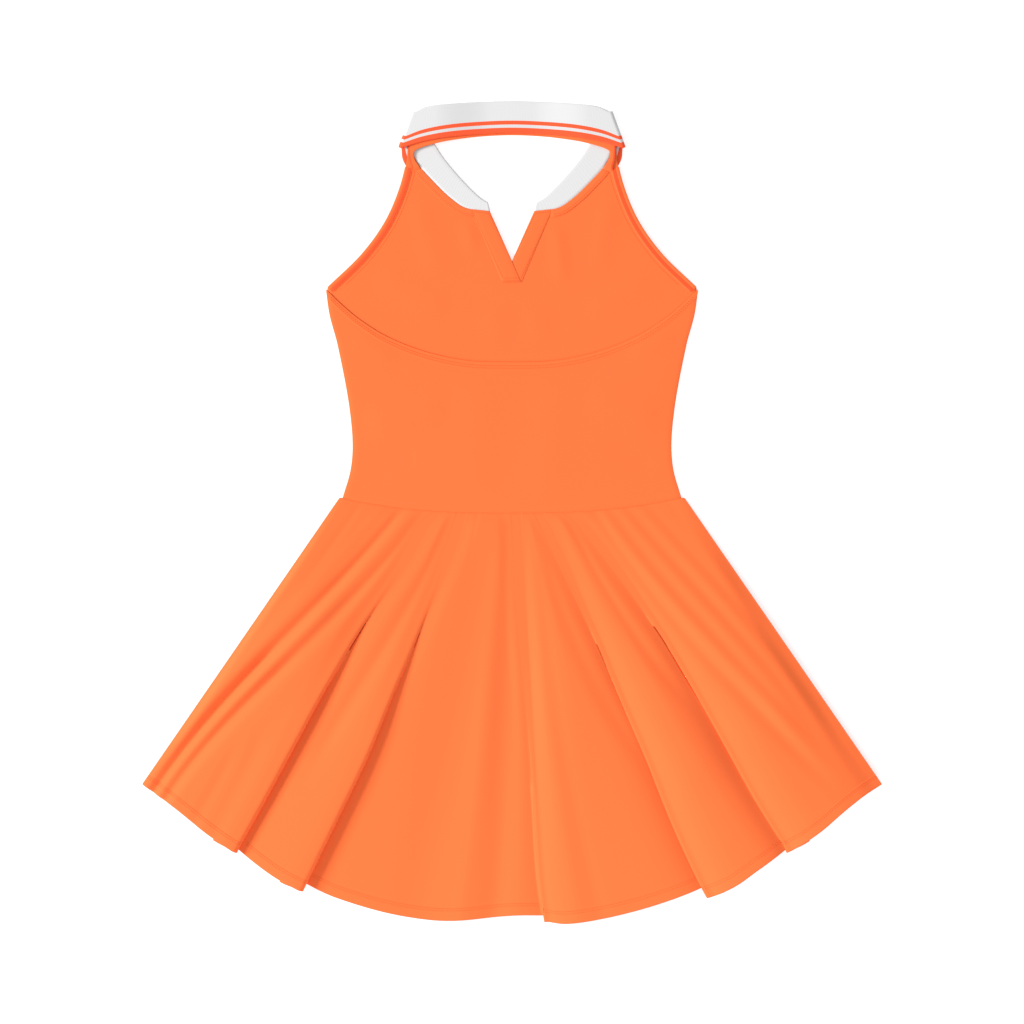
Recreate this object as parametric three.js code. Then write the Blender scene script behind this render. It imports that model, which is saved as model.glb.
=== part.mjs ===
// A halter tennis dress in stretch jersey with a white rib polo collar, laid flat, front face down.
// Millimetres, +Z up. The dress lies on the plane Z = 0, its collar towards +Y and its hem towards -Y.
// X is measured from the centre line. Lengths along the dress are given as "down", the distance below
// the top fold of the collar, so Y = TOP - down. Tables give the half of the dress at +X.
import * as THREE from 'three';

// Whole dress
const LENGTH = 821;
const TOP = LENGTH / 2;
const CLOTH = 1.2; // jersey wall
const RIB = 1.4; // collar wall
const TRIM = 0.9; // tapes, bindings and placket strips
const GAP = 0.3; // between pieces that touch or are sewn together

// Waist and skirt
const WAIST_DOWN = 412;
const WAIST_RISE = 15; // the seam is higher at the sides
const WAIST_HALF = 169;
const WAIST_POWER = 2.6;
const SKIRT_APEX_DOWN = 147; // both side seams of the skirt point at this place
const SKIRT_HALF_ANGLE = 34.55; // degrees

// Heights of the middle of each wall above the surface
const FRONT_MID = CLOTH / 2;
const BACK_MID = FRONT_MID + CLOTH + GAP;
const FALL_MID = RIB / 2;
const STAND_MID = FALL_MID + RIB + GAP;
const COLLAR_AXIS = 3.6; // the collar turns over at each side round this height
const COLLAR_SAG = 4.1; // from the turned sides down to the middle of the back of the neck
const FRONT_LIFT = RIB + GAP; // the front lies on the fall of the collar

// Half outline of the bodice: armhole from the strap to the underarm, then side seam to the waist
const ARMHOLE = [
  { x: 104.6, down: 46 },
  { x: 105.8, down: 61 },
  { x: 113.0, down: 89 },
  { x: 127.0, down: 121 },
  { x: 150.0, down: 153 },
  { x: 184.6, down: 186.5 },
];
const SIDE = [
  { x: 185.6, down: 189 },
  { x: 182.0, down: 214 },
  { x: 174.0, down: 244 },
  { x: 162.5, down: 304 },
  { x: 159.0, down: 342 },
  { x: 161.0, down: 369 },
  { x: 169.0, down: 397 },
];
const NECKLINE = [
  { x: 105.9, down: 35.5 },
  { x: 101.6, down: 46 },
  { x: 97.6, down: 56 },
  { x: 92.0, down: 66 },
  { x: 80.0, down: 79.5 },
  { x: 62.0, down: 97 },
  { x: 47.0, down: 107 },
  { x: 22.3, down: 110.6 },
];
const OPENING_HALF = 22.3; // at the top of the placket
const OPENING_DOWN = 110.6;
const FRONT_TOP_DOWN = 47; // the front's narrow tips end here, under the strap
const V_DOWN = 161.3; // lowest point of the neck opening
const BACK_EDGE = [
  { x: 0, down: 261.5 },
  { x: 42, down: 260 },
  { x: 84, down: 251.5 },
  { x: 124, down: 236 },
  { x: 152, down: 218.5 },
  { x: 170, down: 203.5 },
  { x: 184.8, down: 189 },
];
const BACK_HEM = 8; // turned hem of the back edge
const BACK_HEM_RISE = 0.4;
const BACK_PUFF = 1.2;

// Placket strips at the foot of the neck opening
const PLACKET_TOP_X = 40.5;
const PLACKET_TOP_DOWN = 108.6;
const PLACKET_FOOT_DOWN = 180.8;
const PLACKET_FOOT_X = 10;
const PLACKET_CLIMB = 24; // the upper strip rises on to the lower one over this length
const PLACKET_CROSS_X = 9; // how far a strip's inner edge passes the centre line at its foot

// Trims on the inner face of the front
const TAPE_WIDTH = 8;
const TAPE_TOP_DOWN = 67;
const BINDING_WIDTH = 8;
const BINDING_TOP_DOWN = 66;
const TAPE_STEPS = 22;
const EDGE_INSET = 0.8; // the bodice ends this far inside its bound edges
const UNDERARM_DOWN = 183;

// Collar stations from the front end to the middle of the back. Each is a line across the rib, from its
// seam over the fold to its free edge. On the front, seam is the share of the neckline from the turned
// side to the front end. The collar turns over about the line of the last front station.
const COLLAR_FRONT = [
  { seam: 1, foldX: 24.6, foldDown: 101.2, edgeX: 51, edgeDown: 139 },
  { seam: 0.876, foldX: 31.0, foldDown: 97, edgeX: 59, edgeDown: 130 },
  { seam: 0.787, foldX: 40.0, foldDown: 89, edgeX: 66, edgeDown: 119.5 },
  { seam: 0.594, foldX: 55.0, foldDown: 73, edgeX: 77.5, edgeDown: 103.5 },
  { seam: 0.367, foldX: 68.0, foldDown: 57, edgeX: 94, edgeDown: 80.5 },
  { seam: 0.185, foldX: 77.0, foldDown: 43, edgeX: 107.8, edgeDown: 61.0 },
  { seam: 0, foldX: 97.0, foldDown: 11.3, edgeX: 110.2, edgeDown: 47.2 },
];
const COLLAR_BACK = [
  { seamX: 105.6, seamDown: 35.4, foldX: 97.0, foldDown: 11.3, edgeX: 110.2, edgeDown: 47.2 },
  { seamX: 88.0, seamDown: 31.0, foldX: 84.0, foldDown: 5.6, edgeX: 89.5, edgeDown: 41 },
  { seamX: 62.5, seamDown: 26.5, foldX: 61.0, foldDown: 2.9, edgeX: 63, edgeDown: 36.2 },
  { seamX: 32.0, seamDown: 23.4, foldX: 32.0, foldDown: 0.9, edgeX: 32, edgeDown: 33.2 },
  { seamX: 0.0, seamDown: 22.5, foldX: 0.0, foldDown: 0, edgeX: 0, edgeDown: 32 },
];
const SAG_FROM = 22; // the back of the collar sinks to the surface between these distances from the centre
const SAG_TO = 77;

// Neck strap from its end on the front to the middle of the back: its opening edge and its outer edge
const STRAP = [
  { innerX: 93.2, innerDown: 65.2, outerX: 100.4, outerDown: 66.4, mid: 4.0 },
  { innerX: 97.2, innerDown: 59.5, outerX: 102.2, outerDown: 60, mid: 4.0 },
  { innerX: 98.3, innerDown: 53.6, outerX: 103.0, outerDown: 51.5, mid: 4.2 },
  { innerX: 96.4, innerDown: 49.4, outerX: 102.6, outerDown: 43.0, mid: 4.6 },
  { innerX: 89.0, innerDown: 46.2, outerX: 95.5, outerDown: 33.8, mid: 4.8 },
  { innerX: 76.0, innerDown: 42.5, outerX: 78.5, outerDown: 29.9, mid: 4.8 },
  { innerX: 60.0, innerDown: 39.2, outerX: 62.3, outerDown: 27.0, mid: 4.8 },
  { innerX: 32.0, innerDown: 35.4, outerX: 32.0, outerDown: 23.9, mid: 4.8 },
  { innerX: 0.0, innerDown: 34.0, outerX: 0.0, outerDown: 23.0, mid: 4.8 },
];
const STRAP_BACK_ROW = 4; // the first row that lies behind the neck

// Skirt folds. Angles are degrees from the centre line at the skirt's apex; a fold's edge runs from its
// waist angle to its hem angle, most of the way near the waist where curl is large. top says which side
// lies on top: -1 for the part at -X, +1 for the part at +X. tuck is the length of the turned-under
// return at the hem, opens the share of the skirt's length by which the fold is fully turned and radius the
// bend of its two turns.
const BACK_FOLDS = [
  { waist: -14.6, hem: -24.5, curl: 3.2, top: -1, tuck: 22, opens: 0.34, radius: 2.2 },
  { waist: -9.6, hem: -18.1, curl: 1.4, top: -1, tuck: 20, opens: 0.3, radius: 2.1 },
  { waist: 0.0, hem: 2.75, curl: 1.0, top: 1, tuck: 8, opens: 0.62, radius: 1.2 },
  { waist: 5.2, hem: 16.6, curl: 1.8, top: 1, tuck: 16, opens: 0.4, radius: 1.2 },
  { waist: 11.0, hem: 24.4, curl: 2.9, top: 1, tuck: 20, opens: 0.36, radius: 1.2 },
];
// Hem of the back: the distance of the hem from the apex along each stretch between folds
const BACK_HEM_REACH = [
  [{ at: -34.6, reach: 650.5 }, { at: -31, reach: 652 }, { at: -27.5, reach: 658.4 },
    { at: -24.5, reach: 663.2 }],
  [{ at: -25.5, reach: 656 }, { at: -21, reach: 669.5 }, { at: -18.1, reach: 675.2 }],
  [{ at: -19, reach: 665 }, { at: -15, reach: 672 }, { at: -6.8, reach: 675.8 }, { at: 0, reach: 666.5 },
    { at: 3.5, reach: 667.5 }],
  [{ at: 2.7, reach: 672.8 }, { at: 4.7, reach: 676.3 }, { at: 10.3, reach: 672.8 },
    { at: 17.5, reach: 665 }],
  [{ at: 16.6, reach: 671.5 }, { at: 17.3, reach: 677 }, { at: 20, reach: 671.5 },
    { at: 25.5, reach: 656.5 }],
  [{ at: 24.4, reach: 662.8 }, { at: 27.5, reach: 657.5 }, { at: 31, reach: 650.7 },
    { at: 34.6, reach: 650.2 }],
];
const BACK_COLUMNS = [9, 4, 10, 7, 4, 9];
// Soft creases between the folds: rise is negative for a trough; they fade in and out along the skirt
const BACK_CREASES = [
  { waist: -25.6, hem: -32.8, curl: 1.5, rise: -1.6, width: 9, from: 0.03, to: 0.98 },
  { waist: -21.5, hem: -31.8, curl: 1.6, rise: -1.1, width: 8, from: 0.03, to: 0.85 },
  { waist: -28.5, hem: -33.6, curl: 1.5, rise: 1.4, width: 9, from: 0.05, to: 0.9 },
  { waist: -1.5, hem: -3.0, curl: 1.0, rise: -1.6, width: 20, from: 0.03, to: 1.1 },
  { waist: -3.5, hem: -7.2, curl: 1.0, rise: 1.8, width: 18, from: 0.2, to: 1.15 },
  { waist: 24.5, hem: 31.0, curl: 1.6, rise: -1.3, width: 9, from: 0.03, to: 0.9 },
  { waist: 27.0, hem: 33.0, curl: 1.4, rise: 1.3, width: 8, from: 0.03, to: 0.8 },
  { waist: 20.5, hem: 28.6, curl: 1.8, rise: 1.0, width: 12, from: 0.05, to: 1.1 },
  { waist: 8.3, hem: 9.5, curl: 1.2, rise: 1.2, width: 16, from: 0.25, to: 1.15 },
];
const SKIRT_AIR = 3.5; // the back rests this much higher where the folds of the front lie under it

const FRONT_FOLDS = [
  { waist: -12.0, hem: -21.4, curl: 2.2, top: -1, tuck: 17, opens: 0.36, radius: 0.8 },
  { waist: -4.0, hem: -8.6, curl: 1.3, top: -1, tuck: 14, opens: 0.42, radius: 0.8 },
  { waist: 5.5, hem: 9.6, curl: 1.4, top: 1, tuck: 15, opens: 0.4, radius: 0.8 },
  { waist: 12.5, hem: 21.0, curl: 2.4, top: 1, tuck: 18, opens: 0.36, radius: 0.8 },
];
const FRONT_HEM_REACH = [
  [{ at: -34.6, reach: 649.5 }, { at: -28, reach: 654 }, { at: -21.4, reach: 664 }],
  [{ at: -22.5, reach: 659 }, { at: -14, reach: 668 }, { at: -8.6, reach: 670 }],
  [{ at: -9.5, reach: 665 }, { at: 0, reach: 664 }, { at: 10.5, reach: 665 }],
  [{ at: 9.6, reach: 670 }, { at: 14, reach: 668 }, { at: 22, reach: 658 }],
  [{ at: 21.0, reach: 664 }, { at: 28, reach: 654 }, { at: 34.6, reach: 649.5 }],
];
const FRONT_COLUMNS = [5, 4, 6, 4, 5];
const FOLD_ARC_STEPS = 4;
const TUCK_START = 0.75; // a fold's return starts to lengthen at this share of the way to fully turned
const BACK_FOLD_SPREAD = 110; // how far beside a fold its height dies away
const FRONT_FOLD_SPREAD = 55;
const FOLD_QUIET = 15; // a crease is held flat this near a fold
const CREASE_FADE = 0.25; // share of the skirt's length over which a crease comes and goes
const SKIRT_SETTLE_ANGLE = 7; // degrees beside the side seams where the back comes down on the front
const SKIRT_SETTLE_DEPTH = 0.27; // share of the skirt's length below the waist where it does
const NECK_STEPS = 120;
const SKIRT_ROWS = [0, 0.05, 0.11, 0.18, 0.26, 0.35, 0.44, 0.54, 0.64, 0.74, 0.84, 0.92, 1];

const ORANGE = '#f78146';
const DEEP_ORANGE = '#fb693c';
const WHITE = '#efefef';

// Curves and interpolation
const lerp = (a, b, t) => a + (b - a) * t;
const clamp = (t) => Math.min(1, Math.max(0, t));
const smooth = (t) => clamp(t) ** 2 * (3 - 2 * clamp(t));
const radians = THREE.MathUtils.degToRad;
const at = (x, down, z) => new THREE.Vector3(x, TOP - down, z);

// A smooth function of one column of a table against another, by cubic pieces
function tableCurve(rows, from, to) {
  const slopes = rows.map((row, i) => {
    const before = rows[Math.max(0, i - 1)];
    const after = rows[Math.min(rows.length - 1, i + 1)];
    return (after[to] - before[to]) / (after[from] - before[from]);
  });
  return (value) => {
    let i = 0;
    while (i < rows.length - 2 && value > rows[i + 1][from]) i += 1;
    const span = rows[i + 1][from] - rows[i][from];
    const t = clamp((value - rows[i][from]) / span);
    const bend = t * (1 - t) * span;
    const line = lerp(rows[i][to], rows[i + 1][to], t);
    const chord = (rows[i + 1][to] - rows[i][to]) / span;
    return line + bend * ((1 - t) * (slopes[i] - chord) - t * (slopes[i + 1] - chord));
  };
}

// A smooth curve through the x and down of a table, sampled in equal steps of its length
function planCurve(rows, steps) {
  const points = rows.map((row) => new THREE.Vector3(row.x, row.down, 0));
  const curve = new THREE.CatmullRomCurve3(points);
  return curve.getSpacedPoints(steps).map((p) => ({ x: p.x, down: p.y }));
}

// Rows of a table with every column filled in between by a smooth curve
function fillRows(rows, perRow) {
  const keyed = rows.map((row, i) => ({ ...row, step: i }));
  const names = Object.keys(rows[0]);
  const curves = names.map((name) => tableCurve(keyed, 'step', name));
  const count = (rows.length - 1) * perRow;
  return Array.from({ length: count + 1 }, (_, i) =>
    Object.fromEntries(names.map((name, k) => [name, curves[k](i / perRow)])));
}

// Cloth walls
// A wall of even thickness about the middle surface given by one or more grids of points. Grids that
// share points are joined there, and every free edge is closed.
function clothWall(grids, thickness) {
  const points = [];
  const index = new Map();
  const faces = [];
  const vertex = (p) => {
    const key = [p.x, p.y, p.z].map((c) => Math.round(c * 1000)).join();
    if (!index.has(key)) {
      index.set(key, points.length);
      points.push(p);
    }
    return index.get(key);
  };
  for (const grid of grids) {
    const ids = grid.map((row) => row.map(vertex));
    for (let i = 0; i < ids.length - 1; i += 1) {
      for (let j = 0; j < ids[i].length - 1; j += 1) {
        const [a, b, c, d] = [ids[i][j], ids[i][j + 1], ids[i + 1][j + 1], ids[i + 1][j]];
        if (a !== b && b !== c && a !== c) faces.push([a, b, c]);
        if (a !== c && c !== d && a !== d) faces.push([a, c, d]);
      }
    }
  }
  const normals = points.map(() => new THREE.Vector3());
  const uses = new Map();
  for (const [a, b, c] of faces) {
    const ab = points[b].clone().sub(points[a]);
    const ac = points[c].clone().sub(points[a]);
    const normal = ab.cross(ac);
    for (const i of [a, b, c]) normals[i].add(normal);
    for (const [i, j] of [[a, b], [b, c], [c, a]]) uses.set(`${i},${j}`, [i, j]);
  }
  const half = thickness / 2;
  const upper = points.map((p, i) => p.clone().addScaledVector(normals[i].normalize(), half));
  const lower = points.map((p, i) => p.clone().addScaledVector(normals[i], -half));
  const triangles = faces.flatMap(([a, b, c]) => [
    [upper[a], upper[b], upper[c]],
    [lower[a], lower[c], lower[b]],
  ]);
  for (const [i, j] of uses.values()) {
    if (uses.has(`${j},${i}`)) continue;
    triangles.push([lower[i], lower[j], upper[j]], [lower[i], upper[j], upper[i]]);
  }
  const geometry = new THREE.BufferGeometry();
  const values = triangles.flat().flatMap((p) => [p.x, p.y, p.z]);
  geometry.setAttribute('position', new THREE.Float32BufferAttribute(values, 3));
  geometry.computeVertexNormals();
  return geometry;
}

function piece(name, geometry, colour, roughness) {
  const material = new THREE.MeshStandardMaterial({ color: colour, roughness, metalness: 0 });
  const mesh = new THREE.Mesh(geometry, material);
  mesh.name = name;
  return mesh;
}

const mirrorGrid = (grid) => grid.map((row) => row.map((p) => new THREE.Vector3(-p.x, p.y, p.z)).reverse());

// Bodice
const sideHalf = tableCurve(SIDE, 'down', 'x');
const backEdgeDown = tableCurve(BACK_EDGE, 'x', 'down');
const waistDown = (x) => WAIST_DOWN - WAIST_RISE * (Math.abs(x) / WAIST_HALF) ** WAIST_POWER;

// The front's middle height: flat on the surface, raised at the neck where the collar's fall is under it
const FRONT_RAMP_FROM = 186;
const FRONT_RAMP_TO = 146;
const frontMid = (down) =>
  FRONT_MID + FRONT_LIFT * clamp((FRONT_RAMP_FROM - down) / (FRONT_RAMP_FROM - FRONT_RAMP_TO));

// The neckline in equal steps from a distance down to the front end
function neckPath(fromDown, steps) {
  const fine = planCurve(NECKLINE, 2 * NECK_STEPS).filter((p) => p.down >= fromDown);
  return Array.from({ length: steps + 1 }, (_, i) => fine[Math.round(((fine.length - 1) * i) / steps)]);
}

function insetCurve(points, distance) {
  return points.map((p, i) => {
    const before = points[Math.max(0, i - 1)];
    const after = points[Math.min(points.length - 1, i + 1)];
    const along = new THREE.Vector2(after.x - before.x, after.down - before.down).normalize();
    return { x: p.x - along.y * distance, down: p.down + along.x * distance };
  });
}

function frontBodice() {
  const neckSteps = 8;
  const vSteps = 4;
  const centreSteps = 9;
  const crowding = 1.5; // rows lie closer below the neck opening
  const columns = [0, 0.1, 0.24, 0.42, 0.62, 0.82, 1];
  const armSteps = neckSteps + vSteps;
  const armhole = insetCurve(planCurve(ARMHOLE, armSteps), EDGE_INSET);
  const neck = insetCurve(neckPath(FRONT_TOP_DOWN, neckSteps), -EDGE_INSET / 2);
  const corner = neck[neckSteps];
  const inner = [...neck];
  for (let i = 1; i <= vSteps; i += 1) {
    const t = i / vSteps;
    inner.push({ x: lerp(corner.x, 0, t), down: lerp(corner.down, V_DOWN + EDGE_INSET, t) });
  }
  const outer = [...armhole];
  const side = planCurve(SIDE, centreSteps);
  for (let i = 1; i <= centreSteps; i += 1) {
    const t = i / centreSteps;
    inner.push({ x: 0, down: lerp(V_DOWN + EDGE_INSET, WAIST_DOWN, t ** crowding) });
    outer.push(side[i]);
  }
  const grid = inner.map((from, i) => columns.map((f) => {
    const x = lerp(from.x, outer[i].x, f);
    const chord = lerp(from.down, outer[i].down, f);
    const bend = clamp((i - armSteps) / centreSteps);
    const curved = waistDown(x) - lerp(WAIST_DOWN, waistDown(WAIST_HALF), f);
    const down = chord + bend * curved - (bend === 1 ? GAP / 2 : 0);
    return at(x, down, frontMid(down));
  }));
  return clothWall([grid, mirrorGrid(grid)], CLOTH);
}

function backBodice() {
  const columns = 22;
  const hemStep = 1.5;
  const later = 9;
  const depth = WAIST_DOWN - BACK_EDGE[0].down;
  const rows = [0, BACK_HEM / depth, (BACK_HEM + hemStep) / depth];
  for (let i = 1; i <= later; i += 1) rows.push(lerp(rows[2], 1, i / later));
  const topX = BACK_EDGE[BACK_EDGE.length - 1].x;
  const sideTop = backEdgeDown(topX);
  const grid = rows.map((v, i) => Array.from({ length: columns + 1 }, (_, j) => {
    const c = (2 * j) / columns - 1;
    const sideDown = lerp(sideTop, waistDown(WAIST_HALF), v);
    const x = c * Math.min(sideHalf(sideDown), topX + 1);
    const down = lerp(backEdgeDown(Math.abs(c) * topX), waistDown(c * WAIST_HALF), v);
    const puff = BACK_PUFF * (1 - c ** 4) * Math.sin(Math.PI * v);
    const rise = i < 2 ? BACK_HEM_RISE : 0;
    return at(x, down - (v === 1 ? GAP / 2 : 0), BACK_MID + puff + rise);
  }));
  return clothWall([grid], CLOTH);
}

// Skirt
const polar = (angle, reach, z) =>
  at(reach * Math.sin(radians(angle)), SKIRT_APEX_DOWN + reach * Math.cos(radians(angle)), z);

// Distance of the waist seam from the skirt's apex
function waistReach(angle) {
  let reach = (WAIST_DOWN - SKIRT_APEX_DOWN) / Math.cos(radians(angle));
  const passes = 12;
  for (let i = 0; i < passes; i += 1) {
    const down = waistDown(Math.min(reach * Math.sin(radians(Math.abs(angle))), WAIST_HALF));
    reach = (down + GAP / 2 - SKIRT_APEX_DOWN) / Math.cos(radians(angle));
  }
  return reach;
}

const lineAngle = (line, v) => lerp(line.hem, line.waist, (1 - v) ** line.curl);

// One fold across the skirt at one row: the upper layer turns under round the edge, runs back and turns
// again into the lower layer. turn is 180 degrees where it is fully folded and 0 where it is flat.
function foldSection(fold, v) {
  const { radius } = fold;
  const turn = Math.PI * smooth(v / fold.opens);
  const tuck = fold.tuck * smooth((v - TUCK_START * fold.opens) / (1 - TUCK_START * fold.opens));
  const drop = 2 * radius * (1 - Math.cos(turn)) + tuck * Math.sin(turn);
  const start = -radius * Math.sin(Math.min(turn, Math.PI / 2));
  const points = [];
  for (let i = 0; i <= FOLD_ARC_STEPS; i += 1) {
    const a = (turn * i) / FOLD_ARC_STEPS;
    points.push({ along: start + radius * Math.sin(a), z: drop - radius * (1 - Math.cos(a)) });
  }
  const knee = points[FOLD_ARC_STEPS];
  const away = knee.along + tuck * Math.cos(turn) + radius * Math.sin(turn);
  const low = knee.z - tuck * Math.sin(turn) - radius * (Math.cos(Math.PI - turn) + 1);
  for (let i = 0; i <= FOLD_ARC_STEPS; i += 1) {
    const a = turn * (1 - i / FOLD_ARC_STEPS);
    points.push({ along: away - radius * Math.sin(a), z: low + radius * (1 - Math.cos(a)) });
  }
  const sign = -fold.top;
  const across = points.map((p, i) => ({ along: p.along * sign, z: p.z, share: i / (points.length - 1) }));
  return { points: fold.top > 0 ? across.reverse() : across, drop };
}

function creaseHeight(creases, angle, reach, v) {
  return creases.reduce((sum, crease) => {
    const offset = radians(angle - lineAngle(crease, v)) * reach;
    const fade = smooth((v - crease.from) / CREASE_FADE) * smooth((crease.to - v) / CREASE_FADE);
    return sum + crease.rise * fade * Math.exp(-((offset / crease.width) ** 2));
  }, 0);
}

// A skirt panel: stretches of cloth between folds. height(angle, v) is where its lowest layer lies, and
// sign is +1 for folds that rise over it and -1 for folds that hang under it.
function skirtPanel(folds, hemReach, columns, height, creases, sign) {
  const spread = sign > 0 ? BACK_FOLD_SPREAD : FRONT_FOLD_SPREAD;
  const reachCurves = hemReach.map((rows) => tableCurve(rows, 'at', 'reach'));
  const grid = SKIRT_ROWS.map((v) => {
    const sections = folds.map((fold) => foldSection(fold, v));
    const rowReach = (angle, hem) => lerp(waistReach(angle), hem, v);
    const row = [];
    const place = (angle, z, hem) => row.push(polar(angle, rowReach(angle, hem), z));
    const edges = folds.map((fold, k) => {
      const angle = lineAngle(fold, v);
      const reach = rowReach(angle, reachCurves[k](fold.hem));
      const hemReachLeft = reachCurves[k](fold.hem);
      const hemReachRight = reachCurves[k + 1](fold.hem);
      const points = sections[k].points.map((p) => ({
        angle: angle + THREE.MathUtils.radToDeg(p.along / reach),
        z: p.z,
        hem: lerp(hemReachLeft, hemReachRight, fold.top > 0 ? 1 - p.share : p.share),
      }));
      return { points, level: height(angle, v), drop: sections[k].drop };
    });
    for (let k = 0; k <= folds.length; k += 1) {
      const left = edges[k - 1];
      const right = edges[k];
      const from = left ? left.points[left.points.length - 1].angle : -SKIRT_HALF_ANGLE;
      const to = right ? right.points[0].angle : SKIRT_HALF_ANGLE;
      const leftRise = left && folds[k - 1].top > 0 ? left.drop : 0;
      const rightRise = right && folds[k].top < 0 ? right.drop : 0;
      const count = columns[k];
      for (let i = left ? 1 : 0; i <= (right ? count - 1 : count); i += 1) {
        const t = i / count;
        const angle = lerp(from, to, t);
        const hemFrom = left ? folds[k - 1].hem : -SKIRT_HALF_ANGLE;
        const hemTo = right ? folds[k].hem : SKIRT_HALF_ANGLE;
        const hem = reachCurves[k](lerp(hemFrom, hemTo, t));
        const reach = rowReach(angle, hem);
        const span = Math.min(spread, radians(to - from) * reach);
        const fromLeft = radians(angle - from) * reach;
        const fromRight = radians(to - angle) * reach;
        const rise = leftRise * smooth(1 - fromLeft / span) + rightRise * smooth(1 - fromRight / span);
        const quiet = Math.min(1, left ? fromLeft / FOLD_QUIET : 1, right ? fromRight / FOLD_QUIET : 1);
        const z = sign > 0
          ? height(angle, v) + rise + quiet * creaseHeight(creases, angle, reach, v)
          : height(angle, v) + (left ? left.drop - leftRise : 0) * smooth(1 - fromLeft / span)
            + (right ? right.drop - rightRise : 0) * smooth(1 - fromRight / span);
        place(angle, z, hem);
      }
      if (right) {
        for (const p of right.points) {
          place(p.angle, right.level + (sign > 0 ? p.z : right.drop - p.z), p.hem);
        }
      }
    }
    return row;
  });
  return clothWall([grid], CLOTH);
}

// The back of the skirt lies low at its side seams and at the waist, and on the folds of the front between
function skirtBackHeight(angle, v) {
  const inward = smooth((SKIRT_HALF_ANGLE - Math.abs(angle)) / SKIRT_SETTLE_ANGLE);
  return BACK_MID + SKIRT_AIR * inward * smooth(v / SKIRT_SETTLE_DEPTH);
}

// Collar
// A point of the collar: plan position, height in the front's frame and how far it has turned over
function turned(x, down, height, turn, outward) {
  const radius = COLLAR_AXIS - height;
  const reach = radius * Math.sin(turn);
  return at(x + outward.x * reach, down + outward.down * reach, COLLAR_AXIS - radius * Math.cos(turn));
}

function collarStation(row, turn, outward) {
  const nose = (STAND_MID - FALL_MID) / 2;
  const noseMid = FALL_MID + nose;
  const length = Math.hypot(row.foldX - row.seamX, row.foldDown - row.seamDown);
  const fallLength = Math.hypot(row.foldX - row.edgeX, row.foldDown - row.edgeDown);
  const inset = RIB / 2 + nose;
  const points = [];
  const onStand = (t, height) => {
    const x = lerp(row.seamX, row.foldX, t);
    points.push(turned(x, lerp(row.seamDown, row.foldDown, t), height, turn, outward));
  };
  const onFall = (t, height) => {
    const x = lerp(row.foldX, row.edgeX, t);
    points.push(turned(x, lerp(row.foldDown, row.edgeDown, t), height, turn, outward));
  };
  const standEnd = 1 - inset / length;
  for (const t of [0, 0.5, 1]) onStand(t * standEnd, STAND_MID);
  for (const angle of [45, 90, 135]) {
    const reach = inset - nose * Math.sin(radians(angle));
    const height = noseMid + nose * Math.cos(radians(angle));
    if (angle <= 90) onStand(1 - reach / length, height);
    else onFall(reach / fallLength, height);
  }
  const fallStart = inset / fallLength;
  for (const t of [0, 0.35, 0.7, 1]) onFall(lerp(fallStart, 1, t), FALL_MID);
  return points;
}

function collarSag(p) {
  const sag = COLLAR_SAG * (1 - smooth((Math.abs(p.x) - SAG_FROM) / (SAG_TO - SAG_FROM)));
  return new THREE.Vector3(p.x, p.y, p.z - sag);
}

function collar() {
  const last = COLLAR_FRONT[COLLAR_FRONT.length - 1];
  const axis = new THREE.Vector2(last.edgeX - last.foldX, last.edgeDown - last.foldDown).normalize();
  const outward = { x: axis.y, down: -axis.x };
  const turnSteps = 6;
  const perRow = 3;
  const seam = insetCurve(neckPath(0, NECK_STEPS), GAP);
  const onSeam = (row) => {
    const point = seam[Math.round(clamp(row.seam) * NECK_STEPS)];
    return { ...row, seamX: point.x, seamDown: point.down };
  };
  const half = [];
  for (const row of fillRows(COLLAR_FRONT, perRow)) half.push(collarStation(onSeam(row), 0, outward));
  for (let i = 1; i < turnSteps; i += 1) {
    half.push(collarStation(onSeam(last), (Math.PI * i) / turnSteps, outward));
  }
  const beyond = { ...COLLAR_BACK[3], seamX: -32, foldX: -32, edgeX: -32 };
  const back = fillRows([...COLLAR_BACK, beyond], perRow);
  for (const row of back.slice(0, perRow * (COLLAR_BACK.length - 1) + 1)) {
    half.push(collarStation(row, Math.PI, outward).map(collarSag));
  }
  const other = half.map((row) => row.map((p) => new THREE.Vector3(-p.x, p.y, p.z)));
  const grid = [...half, ...other.reverse().slice(1)];
  return clothWall([grid], RIB);
}

// Neck strap: an arch behind the neck, its ends turned down on to the tips of the front
function neckStrap() {
  const full = [...STRAP, { ...STRAP[STRAP.length - 2], innerX: -32, outerX: -32 }];
  const perRow = 2;
  const rows = fillRows(full, perRow).slice(0, perRow * (STRAP.length - 1) + 1);
  const line = rows.map((row, i) => [0, 0.5, 1].map((t) => {
    const p = at(lerp(row.innerX, row.outerX, t), lerp(row.innerDown, row.outerDown, t), row.mid);
    return i >= perRow * STRAP_BACK_ROW ? collarSag(p) : p;
  }));
  const other = line.map((row) => row.map((p) => new THREE.Vector3(-p.x, p.y, p.z)));
  return clothWall([[...line, ...other.reverse().slice(1)]], CLOTH);
}

// Trims on the inner face of the front, from the front's edge inwards
const onFront = (x, down, layer) =>
  at(x, down, frontMid(down) + CLOTH / 2 + GAP + TRIM / 2 + layer * (TRIM + GAP));

function edgeStrip(points, width, side) {
  const inner = insetCurve(points, width);
  const middle = insetCurve(points, width / 2);
  const grid = points.map((p, i) => [p, middle[i], inner[i]].map((q) => onFront(q.x * side, q.down, 0)));
  return clothWall([grid], TRIM);
}

function neckTape(side) {
  const points = planCurve(NECKLINE, TAPE_STEPS);
  const strip = points.filter((p) => p.down >= TAPE_TOP_DOWN && p.x >= PLACKET_TOP_X + GAP);
  return edgeStrip(strip, -TAPE_WIDTH, side);
}

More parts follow.
